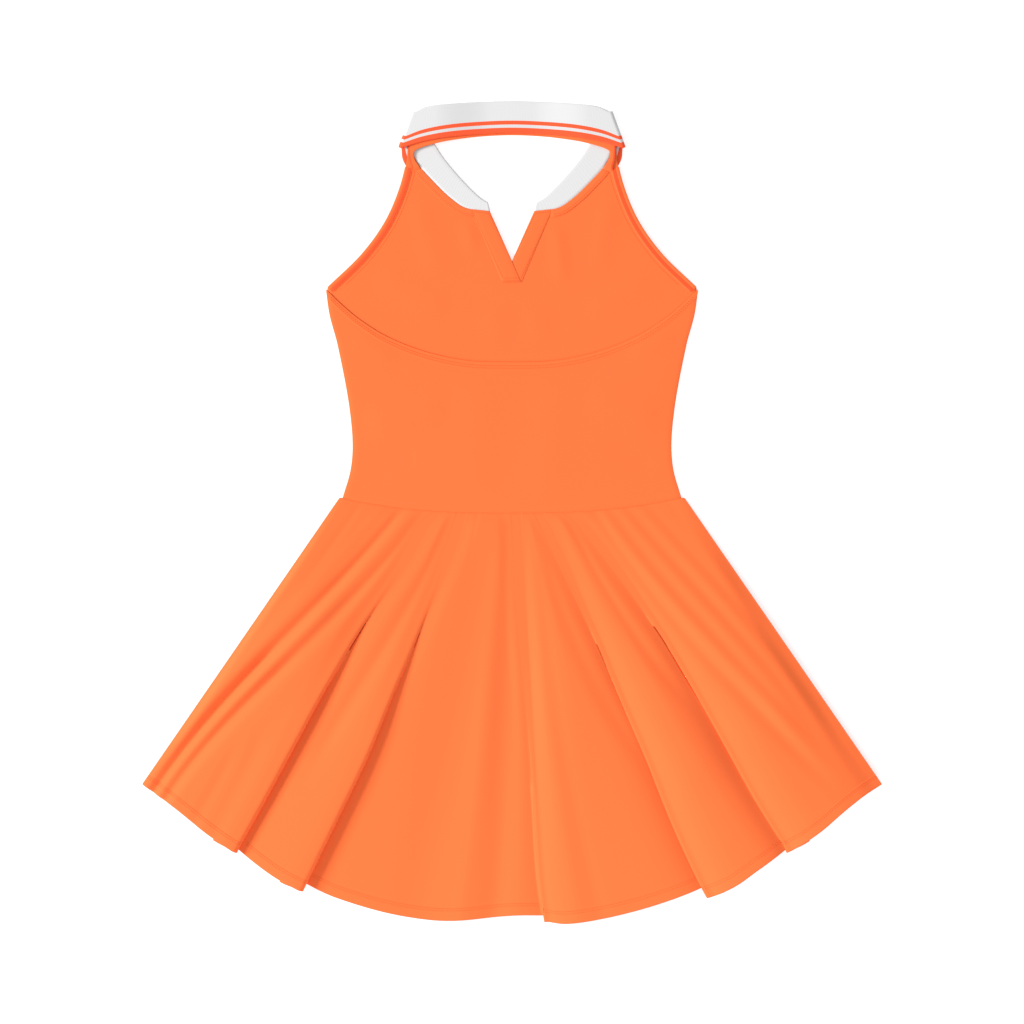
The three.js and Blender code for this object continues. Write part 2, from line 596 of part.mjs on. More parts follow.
function armholeBinding(side) {
  const points = planCurve(ARMHOLE, TAPE_STEPS);
  const strip = points.filter((p) => p.down >= BINDING_TOP_DOWN && p.down <= UNDERARM_DOWN);
  return edgeStrip(strip, BINDING_WIDTH, side);
}

// A placket strip from the neckline to its foot. The strip at -X lies over the other one where they cross.
function placket(side) {
  const steps = 8;
  const rows = Array.from({ length: steps + 1 }, (_, i) => {
    const t = i / steps;
    const outerX = lerp(PLACKET_TOP_X, PLACKET_FOOT_X, t);
    const innerX = lerp(OPENING_HALF, -PLACKET_CROSS_X, t);
    return [0, 0.5, 1].map((f) => {
      const topDown = lerp(PLACKET_TOP_DOWN, OPENING_DOWN, f);
      const down = lerp(topDown, PLACKET_FOOT_DOWN, t);
      const layer = side < 0 ? smooth((down - OPENING_DOWN) / PLACKET_CLIMB) : 0;
      return onFront(side * lerp(outerX, innerX, f), down, layer);
    });
  });
  return clothWall([rows], TRIM);
}

const skirtBack = () => skirtPanel(
  BACK_FOLDS, BACK_HEM_REACH, BACK_COLUMNS, skirtBackHeight, BACK_CREASES, 1);
const skirtFront = () => skirtPanel(
  FRONT_FOLDS, FRONT_HEM_REACH, FRONT_COLUMNS, () => FRONT_MID, [], -1);

const dress = new THREE.Group();
dress.name = 'tennis_dress';
dress.add(
  piece('front_bodice', frontBodice(), ORANGE, 0.8),
  piece('back_bodice', backBodice(), ORANGE, 0.8),
  piece('skirt_front', skirtFront(), ORANGE, 0.8),
  piece('skirt_back', skirtBack(), ORANGE, 0.8),
  piece('collar', collar(), WHITE, 0.9),
  piece('neck_strap', neckStrap(), ORANGE, 0.8),
);
for (const [word, side] of [['left', -1], ['right', 1]]) {
  dress.add(
    piece(`neck_tape_${word}`, neckTape(side), ORANGE, 0.8),
    piece(`armhole_binding_${word}`, armholeBinding(side), DEEP_ORANGE, 0.8),
    piece(`placket_${word}`, placket(side), ORANGE, 0.8),
  );
}

export default dress;
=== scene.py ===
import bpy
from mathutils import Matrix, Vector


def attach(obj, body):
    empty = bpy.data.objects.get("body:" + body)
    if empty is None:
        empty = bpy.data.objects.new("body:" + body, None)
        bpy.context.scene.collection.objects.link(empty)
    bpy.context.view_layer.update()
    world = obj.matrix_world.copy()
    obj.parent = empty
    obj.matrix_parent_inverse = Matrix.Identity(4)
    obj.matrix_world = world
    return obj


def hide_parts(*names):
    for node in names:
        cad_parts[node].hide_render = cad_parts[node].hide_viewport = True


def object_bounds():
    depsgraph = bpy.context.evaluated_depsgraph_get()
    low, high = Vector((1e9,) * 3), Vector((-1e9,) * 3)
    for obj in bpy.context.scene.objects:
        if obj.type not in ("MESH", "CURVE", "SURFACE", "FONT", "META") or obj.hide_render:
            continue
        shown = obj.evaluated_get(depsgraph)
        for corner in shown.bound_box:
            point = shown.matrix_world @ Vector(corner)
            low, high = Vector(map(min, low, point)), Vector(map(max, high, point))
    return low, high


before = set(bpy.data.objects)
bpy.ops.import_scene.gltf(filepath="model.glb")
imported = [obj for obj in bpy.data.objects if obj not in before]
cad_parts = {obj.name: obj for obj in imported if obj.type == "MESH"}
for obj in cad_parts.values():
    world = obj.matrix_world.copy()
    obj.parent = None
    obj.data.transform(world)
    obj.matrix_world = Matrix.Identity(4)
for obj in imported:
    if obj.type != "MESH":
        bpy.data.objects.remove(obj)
CAD_BOX = [list(corner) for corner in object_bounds()]

# A halter tennis dress in orange stretch jersey with a white rib polo collar, laid flat, front face down.
# Sizes are millimetres here and metres in Blender. X is measured from the centre line and "down" from the
# top fold of the collar. Tables give the half of the dress at +X unless they name both sides.
import math

import bpy
import numpy as np
from mathutils import Vector
from mathutils.bvhtree import BVHTree

MM = 0.001
MIRROR = (-1, 1, 1)
TOP = CAD_BOX[1][1] / MM
# Walls of the jersey, the rib and the narrow strips
JERSEY, RIB, TRIM = 0.9, 1.15, 0.42


def named(names, rows):
    """A table's rows as dictionaries."""
    return [dict(zip(names.split(), row)) for row in rows]


# Sizes and tables

# The waist seam rises toward the sides; bodice and skirt each end half a gap from it
WAIST_DOWN, WAIST_RISE, WAIST_HALF, WAIST_POWER = 412, 15, 169, 2.6
HALF_GAP = 0.15
# The skirt fans out from an apex on the centre line, which angles and reach are measured from
APEX_DOWN, HALF_ANGLE, HEM_REACH, SKIRT_LENGTH = 147, 34.55, 668, 395
# Heights of the middle of the cloth; the front rises from the underarms to the collar
FRONT_MID, FRONT_LIFT, RAMP_FROM, RAMP_TO = 0.78, 1.7, 186, 146
BACK_MID, BACK_PUFF = 2.0, 1.2
# How far, and over what distance, the cloth dips at the waist seam and at the side seams
SEAM_DIP, SEAM_DIP_REACH = 0.55, 2.2
SIDE_DIP, BODICE_SIDE_REACH, SKIRT_SIDE_REACH = 0.4, 3.0, 3.5

ARMHOLE = [(104.6, 46), (105.8, 61), (113.0, 89), (127.0, 121), (150.0, 153), (184.6, 186.5)]
SIDE = [(185.6, 189), (182.0, 214), (174.0, 244), (162.5, 304), (159.0, 342), (161.0, 369), (169.0, 397)]
NECKLINE = [(105.9, 35.5), (101.6, 46), (97.6, 56), (92.0, 66), (80.0, 79.5), (62.0, 97), (47.0, 107),
            (22.3, 110.6)]
OPENING_HALF, OPENING_DOWN, V_DOWN, FRONT_TOP_DOWN = 22.3, 110.6, 161.3, 47
BACK_EDGE = [(0, 261.5), (42, 260), (84, 251.5), (124, 236), (152, 218.5), (170, 203.5), (184.8, 189)]

# Fold edges of the back of the skirt: x at each down from the waist, and the (x, down) point at the hem
FOLD_DOWNS = (411, 424, 469, 529, 589, 649, 709, 769)
FOLD_EDGES = {
    "F1": ((-72, -87, -112, -151, -186, -218.5, -251), (-274, 750)),
    "F2": ((-50, -54, -69, -92, -117, -141.5, -170.5, -200), (-209, 788)),
    "F3": ((4, 5, 7, 11, 15, 18.5, 22.5, 26.5), (33, 820)),
    "F4": ((26, 33, 54, 80, 105, 131, 155, 182.5), (196, 794)),
    "F5": ((56, 71, 105, 145, 181, 214.5, 248), (274, 750)),
}
# top is the side that lies on top, tuck the width hidden below it, opens the share of the length over which
# the fold turns, nose and round the height and half width of its edge, inner the radius of the turn below,
# crest a ridge beside the edge, reach the share of the panel in which it rises, and swell the rise of the
# lower cloth away from the fold
BACK_FOLDS = named("edge top tuck opens nose round inner crest reach swell", [
    ("F1", -1, 22, 0.68, 4.6, 4.6, 1.0, 0, 0, 0.6),
    ("F2", -1, 20, 0.64, 4.2, 4.6, 1.0, 0, 0, 0.6),
    ("F3", 1, 0, 1.5, 0.6, 4.0, 0.6, 0, 0, 1.5),
    ("F4", 1, 16, 0.80, 1.0, 5.0, 0.8, 1.8, 0.35, 5.2),
    ("F5", 1, 20, 0.78, 1.0, 5.0, 0.8, 1.4, 0.30, 5.0),
])
# The hem of each panel between two folds as (angle, reach) points
BACK_HEM_REACH = [
    [(-34.6, 650.5), (-31, 652), (-27.5, 658.4), (-24.5, 663.2)],
    [(-25.5, 656), (-21, 669.5), (-18.1, 675.2)],
    [(-19, 665), (-15, 672), (-6.8, 675.8), (0, 666.5), (3.5, 667.5)],
    [(2.7, 672.8), (4.7, 676.3), (10.3, 672.8), (17.5, 665)],
    [(16.4, 677.4), (17.3, 677.3), (19.3, 673.9), (21.5, 666.9), (24.4, 659.6), (26.8, 655)],
    [(24.4, 663.6), (25.7, 661.8), (27.9, 658), (30.3, 652.3), (32.6, 649.4), (34.6, 650.2)],
]
BACK_COLUMNS = [40, 22, 66, 44, 26, 40]
# Soft creases run from an angle at the waist to one at the hem; curl bends them, start and end are shares
# of the length, and a trough has a negative rise
CREASE_NAMES = "waist hem curl rise width start end"
BACK_CREASES = named(CREASE_NAMES, [
    (-30.6, -35.3, 1.0, -1.0, 5.0, -0.1, 0.32),
    (-21.0, -32.8, 2.0, 2.4, 22.0, 0.3, 1.4),
    (-26.5, -34.0, 2.3, 0.7, 8.0, 0.0, 1.1),
    (-22.8, -33.4, 2.1, -4.2, 6.5, -0.05, 1.25),
    (-20.5, -32.8, 2.1, 1.0, 6.0, 0.02, 1.1),
    (-18.3, -32.2, 1.9, -2.8, 6.5, 0.02, 1.15),
    (-22.8, -33.4, 2.1, -2.6, 5.5, 0.5, 1.3),
    (-18.3, -32.2, 1.9, -1.7, 5.5, 0.5, 1.25),
    (-16.5, -29.8, 2.0, 0.8, 13.0, 0.02, 1.1),
    (-26.6, -26.9, 1.0, -0.9, 9.0, 0.72, 1.25),
    (-28.5, -28.9, 1.0, -0.8, 6.0, 0.78, 1.3),
    (-12.1, -22.1, 1.8, -1.8, 8.0, -0.05, 0.8),
    (-7.4, -11.3, 1.0, -0.8, 3.5, -0.1, 0.16),
    (-5.0, -8.0, 1.2, -1.5, 26.0, 0.1, 1.4),
    (-2.2, -4.4, 1.0, 0.7, 10.0, 0.08, 1.3),
    (-0.2, -1.6, 0.6, -2.3, 15.0, -0.1, 1.3),
    (2.6, 5.5, 1.0, 0.5, 9.0, 0.1, 1.3),
    (4.1, 7.7, 0.8, -0.6, 9.0, -0.1, 1.3),
    (4.7, 25.8, 0.6, -1.0, 9.0, 0.12, 0.75),
    (5.1, 6.2, 1.0, -0.6, 3.0, -0.1, 0.12),
    (11.5, 26.3, 1.3, -1.4, 7.0, -0.05, 0.6),
    (17.3, 30.7, 1.6, -1.5, 8.0, -0.05, 1.0),
    (19, 31.3, 1.8, 1.3, 8.0, 0.0, 0.9),
    (20.7, 31.8, 1.9, -0.4, 7.0, -0.05, 0.92),
    (22.4, 32.1, 2.3, 1.2, 8.0, 0.0, 0.8),
    (24, 32.2, 2.7, -0.5, 7.0, -0.05, 0.88),
    (26, 33, 3.0, 1.2, 8.0, 0.0, 0.85),
    (27.9, 33.6, 3.2, -0.5, 7.0, -0.05, 0.95),
    (31.8, 33.5, 1.0, -0.7, 4.0, -0.1, 0.14),
])

FRONT_FOLDS = named("waist hem curl top tuck opens nose round inner", [
    (-12.0, -21.4, 2.2, -1, 17, 0.36, 0.55, 0.8, 0.55),
    (-4.0, -8.6, 1.3, -1, 14, 0.42, 0.55, 0.8, 0.55),
    (5.5, 9.6, 1.4, 1, 15, 0.4, 0.55, 0.8, 0.55),
    (12.5, 21.0, 2.4, 1, 18, 0.36, 0.55, 0.8, 0.55),
])
FRONT_HEM_REACH = [
    [(-34.6, 649.5), (-28, 654), (-21.4, 664)],
    [(-22.5, 659), (-14, 668), (-8.6, 670)],
    [(-9.5, 665), (0, 664), (10.5, 665)],
    [(9.6, 670), (14, 668), (22, 658)],
    [(21.0, 664), (28, 654), (34.6, 649.5)],
]
FRONT_COLUMNS = [24, 18, 30, 18, 24]
FRONT_SKIRT_CREASES = named(CREASE_NAMES, [
    (-26.0, -31.0, 2.0, 0.9, 8.0, 0.0, 0.95),
    (-19.0, -27.0, 1.8, 0.7, 9.0, 0.1, 1.1),
    (-8.0, -15.0, 1.3, 0.9, 9.0, 0.0, 1.2),
    (0.8, 1.6, 1.0, 0.9, 10.0, 0.05, 1.2),
    (8.5, 15.4, 1.3, 0.8, 8.0, 0.0, 0.9),
    (18.5, 26.5, 1.8, 0.9, 9.0, 0.05, 1.1),
    (25.5, 30.6, 2.0, 0.7, 8.0, 0.0, 0.85),
])

# A fold's columns round its edge and in its tuck
FOLD_ARC, TUCK_COLUMNS = 12, 4
# A fold is a flat band until it has turned this far
BAND_HALF, BAND_TURN = 5.0, 1.6
# The tuck comes out late in the opening, and the edge grows from this share of its height at the waist
TUCK_FROM, GROWTH, GROWN_AT = 0.75, {-1: 0.25, 1: 0.15}, 0.8
WAIST_ROUND, ROUND_AT = 7.0, 0.5
# The hem passes from one panel's line to the next between these shares of a fold's section
HEM_MIX_FROM, HEM_MIX_SPAN = 0.5, 0.4
# Beside a fold the lower cloth swells and rises out of the groove, and the upper cloth rolls over
SWELL_REACH, SWELL_POWER, SWELL_AT = 44, 3, 0.5
VEE_REACH, VEE_RISE, VEE_START, VEE_EASE, VEE_EASE_FROM, VEE_EASE_SPAN = 15, 1.1, 0.03, 0.6, 0.2, 0.4
ROLL_REACH, ROLL_DEPTH, FULL_DROP, SLOPE_ROUNDING = 16, 0.35, 4, 0.1
# A fold with a crest holds its height over this share of the panel
HELD_SHARE = 0.5
# Creases fade out beside a fold and at their ends, and are narrower and lower near the waist
FOLD_QUIET, CREASE_LEAD, CREASE_FADE_IN, CREASE_FADE = 14, 0.07, 0.12, 0.22
CREASE_OPEN_AT, WAIST_WIDTH_SHARE, WAIST_RISE_SHARE = 0.45, 0.6, 0.36
# The back of the skirt lies on air over the front, and settles toward the side seams and the waist
SKIRT_AIR, SETTLE_LEFT, SETTLE_RIGHT, SETTLE_DEPTH = 3.6, 0.9, 2.2, 0.3
LOWEST_BACK, REST_SOFTNESS = 1.8, 0.35

# Stations of the collar from the placket to the end of the neck, then round the back to the centre line
COLLAR_FRONT = named("seam foldX foldDown edgeX edgeDown", [
    (1, 24.6, 101.2, 51, 139),
    (0.876, 31.0, 97, 59, 130),
    (0.787, 40.0, 89, 66, 119.5),
    (0.594, 55.0, 73, 77.5, 103.5),
    (0.367, 68.0, 57, 94, 80.5),
    (0.185, 77.0, 43, 107.8, 61.0),
    (0, 97.0, 11.3, 110.2, 47.2),
])
COLLAR_BACK = named("seamX seamDown foldX foldDown edgeX edgeDown", [
    (105.6, 35.4, 97.0, 11.3, 110.2, 47.2),
    (88.0, 31.0, 84.0, 5.6, 89.5, 41),
    (62.5, 26.5, 61.0, 2.9, 63, 36.2),
    (32.0, 23.4, 32.0, 0.9, 32, 33.2),
    (0.0, 22.5, 0.0, 0, 0, 32),
])
# Heights of the fall, of the stand and of the axis about which the collar turns over beside the neck
FALL_MID, STAND_MID, COLLAR_AXIS = 0.7, 2.4, 3.6
FOLD_SLACK = 0.12
STAND_COLUMNS, NOSE_COLUMNS, FALL_COLUMNS = 9, 9, 27
# Behind the neck the collar sags toward the centre line
COLLAR_SAG, SAG_FROM, SAG_TO = 4.1, 22, 77
STRAP = named("innerX innerDown outerX outerDown mid", [
    (91.2, 69.4, 101.6, 71.8, 2.3),
    (93.2, 65.2, 100.4, 66.4, 4.0),
    (97.2, 59.5, 102.2, 60, 4.0),
    (98.3, 53.6, 103.0, 51.5, 4.2),
    (96.4, 49.4, 102.6, 43.0, 4.6),
    (89.0, 46.2, 95.5, 33.8, 4.8),
    (76.0, 42.5, 78.5, 29.9, 4.8),
    (60.0, 39.2, 62.3, 27.0, 4.8),
    (32.0, 35.4, 32.0, 23.9, 4.8),
    (0.0, 34.0, 0.0, 23.0, 4.8),
])
STRAP_BACK_ROW = 5

# Hems: the turned edge of the back and the hem of the skirt, each with two rows of stitches
EDGE_HEM, EDGE_ROWS = 8, (3.5, 6.0)
SKIRT_HEM, HEM_LINES = 10.6, (9.5, 11.7)
STITCH_GROOVE = 0.5
HEM_ROWS = np.array([15, 13.6, 12.8, 12.3, 11.7, 11.1, 10.6, 10.0, 9.5, 9.0, 8.2, 6.5, 4.5, 2.6, 1.2,
                     0.5, 0])


# Curves
def lerp(a, b, t):
    return a + (b - a) * t


def smooth(t):
    t = np.clip(t, 0, 1)
    return t * t * (3 - 2 * t)


def table_curve(rows, key=0, value=1):
    """A smooth curve of one column of a table against another."""
    xs = np.array([r[key] for r in rows], float)
    ys = np.array([r[value] for r in rows], float)
    n = len(xs)
    before, after = np.maximum(np.arange(n) - 1, 0), np.minimum(np.arange(n) + 1, n - 1)
    slopes = (ys[after] - ys[before]) / (xs[after] - xs[before])

    def curve(q):
        q = np.asarray(q, float)
        i = np.searchsorted(xs[1:-1], q, side="left")
        span = xs[i + 1] - xs[i]
        t = np.clip((q - xs[i]) / span, 0, 1)
        chord = (ys[i + 1] - ys[i]) / span
        bend = t * (1 - t) * span * ((1 - t) * (slopes[i] - chord) - t * (slopes[i + 1] - chord))
        return lerp(ys[i], ys[i + 1], t) + bend
    return curve


def plan_curve(rows, steps):
    """A smooth curve through plan points, in equal steps of its length."""
    p = np.array(rows, float)
    p = np.vstack([2 * p[0] - p[1], p, 2 * p[-1] - p[-2]])
    fine = []
    for k in range(1, len(p) - 2):
        d = [np.linalg.norm(p[k + i] - p[k + i - 1]) ** 0.5 for i in (0, 1, 2)]
        a, b, c, e = p[k - 1:k + 3]
        m1 = ((b - a) / d[0] - (c - a) / (d[0] + d[1]) + (c - b) / d[1]) * d[1]
        m2 = ((c - b) / d[1] - (e - b) / (d[1] + d[2]) + (e - c) / d[2]) * d[1]
        t = np.linspace(0, 1, 60, endpoint=k == len(p) - 3)[:, None]
        fine.append((2 * t**3 - 3 * t**2 + 1) * b + (t**3 - 2 * t**2 + t) * m1
                    + (3 * t**2 - 2 * t**3) * c + (t**3 - t**2) * m2)
    return even(np.vstack(fine), steps)


def run_along(points):
    """The distance of each point along a polyline."""
    return np.concatenate([[0], np.cumsum(np.linalg.norm(np.diff(points, axis=0), axis=1))])


def even(points, steps):
    """A polyline's points in equal steps of its length."""
    s = run_along(points)
    q = np.linspace(0, s[-1], steps + 1)
    return np.stack([np.interp(q, s, points[:, k]) for k in range(points.shape[1])], 1)


def inset(points, distance):
    """A plan line moved sideways."""
    along = np.gradient(points, axis=0)
    along /= np.linalg.norm(along, axis=1, keepdims=True)
    return points + np.stack([-along[:, 1], along[:, 0]], 1) * np.reshape(distance, (-1, 1))


def fill_rows(rows, per_row):
    """A table's rows with smooth ones between them."""
    keyed = [dict(r, step=i) for i, r in enumerate(rows)]
    q = np.arange((len(rows) - 1) * per_row + 1) / per_row
    columns = {name: table_curve(keyed, "step", name)(q) for name in rows[0]}
    return [{name: float(columns[name][i]) for name in columns} for i in range(len(q))]


# Meshes
TINY = 1e-9
EDGE_ROUND = 0.8  # how far a wall's edge bulges, as a share of half its thickness


def to_xyz(grid):
    """(x, down, z) points to (X, Y, Z)."""
    out = np.array(grid, float)
    out[..., 1] = TOP - out[..., 1]
    return out


def new_object(name, points, faces, uv=None, material=None):
    mesh = bpy.data.meshes.new(name)
    mesh.from_pydata((np.asarray(points) * MM).tolist(), [], [list(map(int, f)) for f in faces])
    mesh.polygons.foreach_set("use_smooth", [True] * len(mesh.polygons))
    if uv is not None:
        layer = mesh.uv_layers.new(name="cloth")
        index = np.zeros(len(mesh.loops), int)
        mesh.loops.foreach_get("vertex_index", index)
        layer.data.foreach_set("uv", (np.asarray(uv)[index] * MM).ravel())
    if material:
        mesh.materials.append(material)
    obj = bpy.data.objects.new(name, mesh)
    bpy.context.scene.collection.objects.link(obj)
    return obj


def grid_faces(grids, ids):
    faces, start = [], 0
    for g in grids:
        r, c = np.asarray(g).shape[:2]
        q = ids[start:start + r * c].reshape(r, c)
        start += r * c
        corners = (q[:-1, :-1], q[:-1, 1:], q[1:, 1:], q[1:, :-1])
        for a, b, d, e in zip(*[corner.ravel() for corner in corners]):
            face = list(dict.fromkeys((int(a), int(e), int(d), int(b))))
            if len(face) >= 3:
                faces.append(face)
    return faces


def point_normals(points, faces):
    """The sum of the faces' normals at each point, larger faces counting for more."""
    normals = np.zeros_like(points)
    for n in (3, 4):
        group = np.array([f for f in faces if len(f) == n])
        if not len(group):
            continue
        for k in range(1, n - 1):
            a, b, d = group[:, 0], group[:, k], group[:, k + 1]
            cross = np.cross(points[b] - points[a], points[d] - points[a])
            for i in (a, b, d):
                np.add.at(normals, i, cross)
    return normals


def rim_of(points, normals, faces):
    """A sheet's free edges, the points on them and the outward direction at each."""
    edges = {(f[i], f[(i + 1) % len(f)]) for f in faces for i in range(len(f))}
    rim = [(i, j) for i, j in edges if (j, i) not in edges]
    out = np.zeros_like(points)
    for i, j in rim:
        side = np.cross(points[j] - points[i], normals[i])
        side /= max(np.linalg.norm(side), TINY)
        out[i] += side
        out[j] += side
    ring = sorted({i for edge in rim for i in edge})
    return rim, ring, out[ring] / np.maximum(np.linalg.norm(out[ring], axis=1, keepdims=True), TINY)


def shell(name, grids, thickness, material, uvs=None):
    """A wall of cloth with rounded edges about the middle surface that (x, down, z) grids give."""
    points = np.vstack([to_xyz(g).reshape(-1, 3) for g in grids])
    if uvs is None:
        uvs = [np.stack([g[..., 0], g[..., 1]], -1) for g in map(np.asarray, grids)]
    uv = np.vstack([np.asarray(u, float).reshape(-1, 2) for u in uvs])
    _, first, ids = np.unique(np.round(points, 3), axis=0, return_index=True, return_inverse=True)
    faces = grid_faces(grids, ids.ravel())
    points, uv = points[first], uv[first]
    normals = point_normals(points, faces)
    if normals[:, 2].sum() < 0:
        faces = [f[::-1] for f in faces]
        normals = -normals
    normals /= np.maximum(np.linalg.norm(normals, axis=1, keepdims=True), TINY)
    rim, ring, out = rim_of(points, normals, faces)
    half, n = thickness / 2, len(points)
    place = {i: 2 * n + k for k, i in enumerate(ring)}
    edge = points[ring] + out * half * EDGE_ROUND
    verts = np.vstack([points + normals * half, points - normals * half, edge])
    solid = faces + [[i + n for i in f[::-1]] for f in faces]
    for i, j in rim:
        solid.append([i, place[i], place[j], j])
        solid.append([place[i], i + n, j + n, place[j]])
    obj = new_object(name, verts, solid, np.vstack([uv, uv, uv[ring]]), material)
    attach(obj, "root")
    return obj


def face_of(piece, up=1):
    """A function for the height of a piece's upper or lower face at a plan point, or None beside it."""
    mesh = piece.data
    tree = BVHTree.FromPolygons([v.co[:] for v in mesh.vertices], [f.vertices[:] for f in mesh.polygons])

    def height(x, down):
        hit = tree.ray_cast(Vector((x * MM, (TOP - down) * MM, 0.1 * up)), Vector((0, 0, -up)))
        return None if hit[0] is None else hit[0].z / MM
    return height


LEVEL_TOLERANCE, SHORTEST_RUN = 1.2, 4


def laid(height, line, level=None):
    """The parts of a plan line that run on a piece's face; level keeps those near given heights."""
    runs, run = [], []
    for i, (x, down) in enumerate(line):
        z = height(x, down)
        if z is None or (level is not None and abs(z - level[i]) > LEVEL_TOLERANCE):
            if len(run) >= SHORTEST_RUN:
                runs.append(np.array(run))
            run = []
        else:
            run.append((x, down, z))
    if len(run) >= SHORTEST_RUN:
        runs.append(np.array(run))
    return runs


# Rings of a stitch as (place along it, share of its radius)
STITCH_RINGS = [(-0.5, 0.25), (-0.3, 1.0), (0.3, 1.0), (0.5, 0.25)]
STITCH_SIDES, STITCH_FLATNESS = 6, 0.8


def stitches(name, lines, length, pitch, radius):
    """Rows of small thread stitches along (x, down, z) lines on the cloth's face."""
    verts, faces = [], []
    last_ring = (len(STITCH_RINGS) - 1) * STITCH_SIDES
    for line in lines:
        line = to_xyz(line)
        total = np.linalg.norm(np.diff(line, axis=0), axis=1).sum()
        count = max(2, int(total / pitch))
        path = even(line, count * 2)
        for k in range(count):
            centre = path[2 * k + 1]
            along = path[2 * k + 2] - path[2 * k]
            along /= max(np.linalg.norm(along), TINY)
            side = np.cross(along, (0, 0, 1.0))
            side /= max(np.linalg.norm(side), TINY)
            up = np.cross(side, along)
            base = len(verts)
            for shift, scale in STITCH_RINGS:
                for q in range(STITCH_SIDES):
                    a = 2 * math.pi * q / STITCH_SIDES
                    turned = side * math.cos(a) + up * math.sin(a) * STITCH_FLATNESS
                    verts.append(centre + along * shift * length + turned * radius * scale)
            for r in range(len(STITCH_RINGS) - 1):
                for q in range(STITCH_SIDES):
                    a = base + r * STITCH_SIDES + q
                    b = base + r * STITCH_SIDES + (q + 1) % STITCH_SIDES
                    faces.append([a, b, b + STITCH_SIDES, a + STITCH_SIDES])
            faces.append([base + q for q in range(STITCH_SIDES - 1, -1, -1)])
            faces.append([base + last_ring + q for q in range(STITCH_SIDES)])
    obj = new_object(name, verts, faces, None, thread)
    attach(obj, "root")
    return obj


# Materials
def srgb(r, g, b):
    def linear(v):
        v /= 255
        return v / 12.92 if v <= 0.04045 else ((v + 0.055) / 1.055) ** 2.4
    return linear(r), linear(g), linear(b), 1.0


def put(node, values):
    for name, value in values.items():
        node.inputs[name].default_value = value


def cloth(name, colour, knit=0.25):
    """Matt cloth of one colour; knit is the strength of its fine grain."""
    material = bpy.data.materials.new(name)
    material.use_nodes = True
    nodes, links = material.node_tree.nodes, material.node_tree.links
    shader = nodes["Principled BSDF"]
    put(shader, {"Base Color": colour, "Roughness": 0.85, "Specular IOR Level": 0.25,
                 "Sheen Weight": 0.15, "Sheen Roughness": 0.5, "Sheen Tint": colour})
    where = nodes.new("ShaderNodeTexCoord")
    fine = nodes.new("ShaderNodeTexNoise")
    put(fine, {"Scale": 1100, "Detail": 2})
    links.new(where.outputs["Object"], fine.inputs["Vector"])
    relief = nodes.new("ShaderNodeBump")
    put(relief, {"Strength": knit, "Distance": 0.12 * MM})
    links.new(fine.outputs["Fac"], relief.inputs["Height"])
    links.new(relief.outputs["Normal"], shader.inputs["Normal"])
    return material


ORANGE, DEEP = srgb(249, 113, 57), srgb(249, 88, 44)
jersey = cloth("orange_jersey", ORANGE)
strap_cloth = cloth("orange_strap", ORANGE)
thread = cloth("orange_thread", srgb(238, 84, 36), knit=0)


def striped(material, span, stops):
    """Bands of colour against the distance in mm from a piece's free edge."""
    nodes, links = material.node_tree.nodes, material.node_tree.links
    uv = nodes.new("ShaderNodeUVMap")
    uv.uv_map = "cloth"
    split = nodes.new("ShaderNodeSeparateXYZ")
    links.new(uv.outputs["UV"], split.inputs["Vector"])
    scale = nodes.new("ShaderNodeMath")
    scale.operation = "MULTIPLY"
    scale.inputs[1].default_value = 1000 / span
    links.new(split.outputs["Y"], scale.inputs[0])
    ramp = nodes.new("ShaderNodeValToRGB")
    ramp.color_ramp.interpolation = "CONSTANT"
    bands = ramp.color_ramp.elements
    bands[0].color = stops[0][1]
    bands[1].position, bands[1].color = stops[-1][0] / span, stops[-1][1]
    for distance, colour in stops[1:-1]:
        bands.new(distance / span).color = colour
    links.new(scale.outputs["Value"], ramp.inputs["Fac"])
    links.new(ramp.outputs["Color"], nodes["Principled BSDF"].inputs["Base Color"])
    return uv


RIB_WIDTH = 1.3  # one rib, and one groove


def rib_material():
    material = cloth("white_rib", srgb(214, 214, 214))
    nodes, links = material.node_tree.nodes, material.node_tree.links
    put(nodes["Principled BSDF"], {"Sheen Tint": (1, 1, 1, 1)})
    stripe, white, body = srgb(250, 90, 48), srgb(214, 212, 212), srgb(216, 216, 216)
    uv = striped(material, 40, [(0, stripe), (5, white), (8, stripe), (12, body)])
    wave = nodes.new("ShaderNodeTexWave")
    wave.wave_type = "BANDS"
    wave.bands_direction = "X"
    put(wave, {"Scale": 1000 / RIB_WIDTH / 20 * math.pi})
    links.new(uv.outputs["UV"], wave.inputs["Vector"])
    put(nodes["Bump"], {"Strength": 0.14, "Distance": 0.2 * MM})
    links.new(wave.outputs["Fac"], nodes["Bump"].inputs["Height"])
    return material


rib = rib_material()
bound = cloth("orange_binding", ORANGE)
striped(bound, 20, [(0, ORANGE), (3.2, DEEP), (7.2, ORANGE)])
striped(strap_cloth, 20, [(0, DEEP), (1.5, ORANGE)])


# Shared surfaces
def waist_down(x):
    return WAIST_DOWN - WAIST_RISE * (np.abs(x) / WAIST_HALF) ** WAIST_POWER


side_half = table_curve(SIDE, key=1, value=0)
back_edge_down = table_curve(BACK_EDGE)


RIDGE_FADE = 25


def with_ridges(z, x, down, creases):
    """Heights with soft ridges along straight plan lines."""
    for x0, d0, x1, d1, rise, width in creases:
        length = math.hypot(x1 - x0, d1 - d0)
        ux, ud = (x1 - x0) / length, (d1 - d0) / length
        along = (x - x0) * ux + (down - d0) * ud
        across = -(x - x0) * ud + (down - d0) * ux
        ends = smooth(along / RIDGE_FADE) * smooth((length - along) / RIDGE_FADE)
        z = z + rise * ends * np.exp(-(across / width) ** 2)
    return z


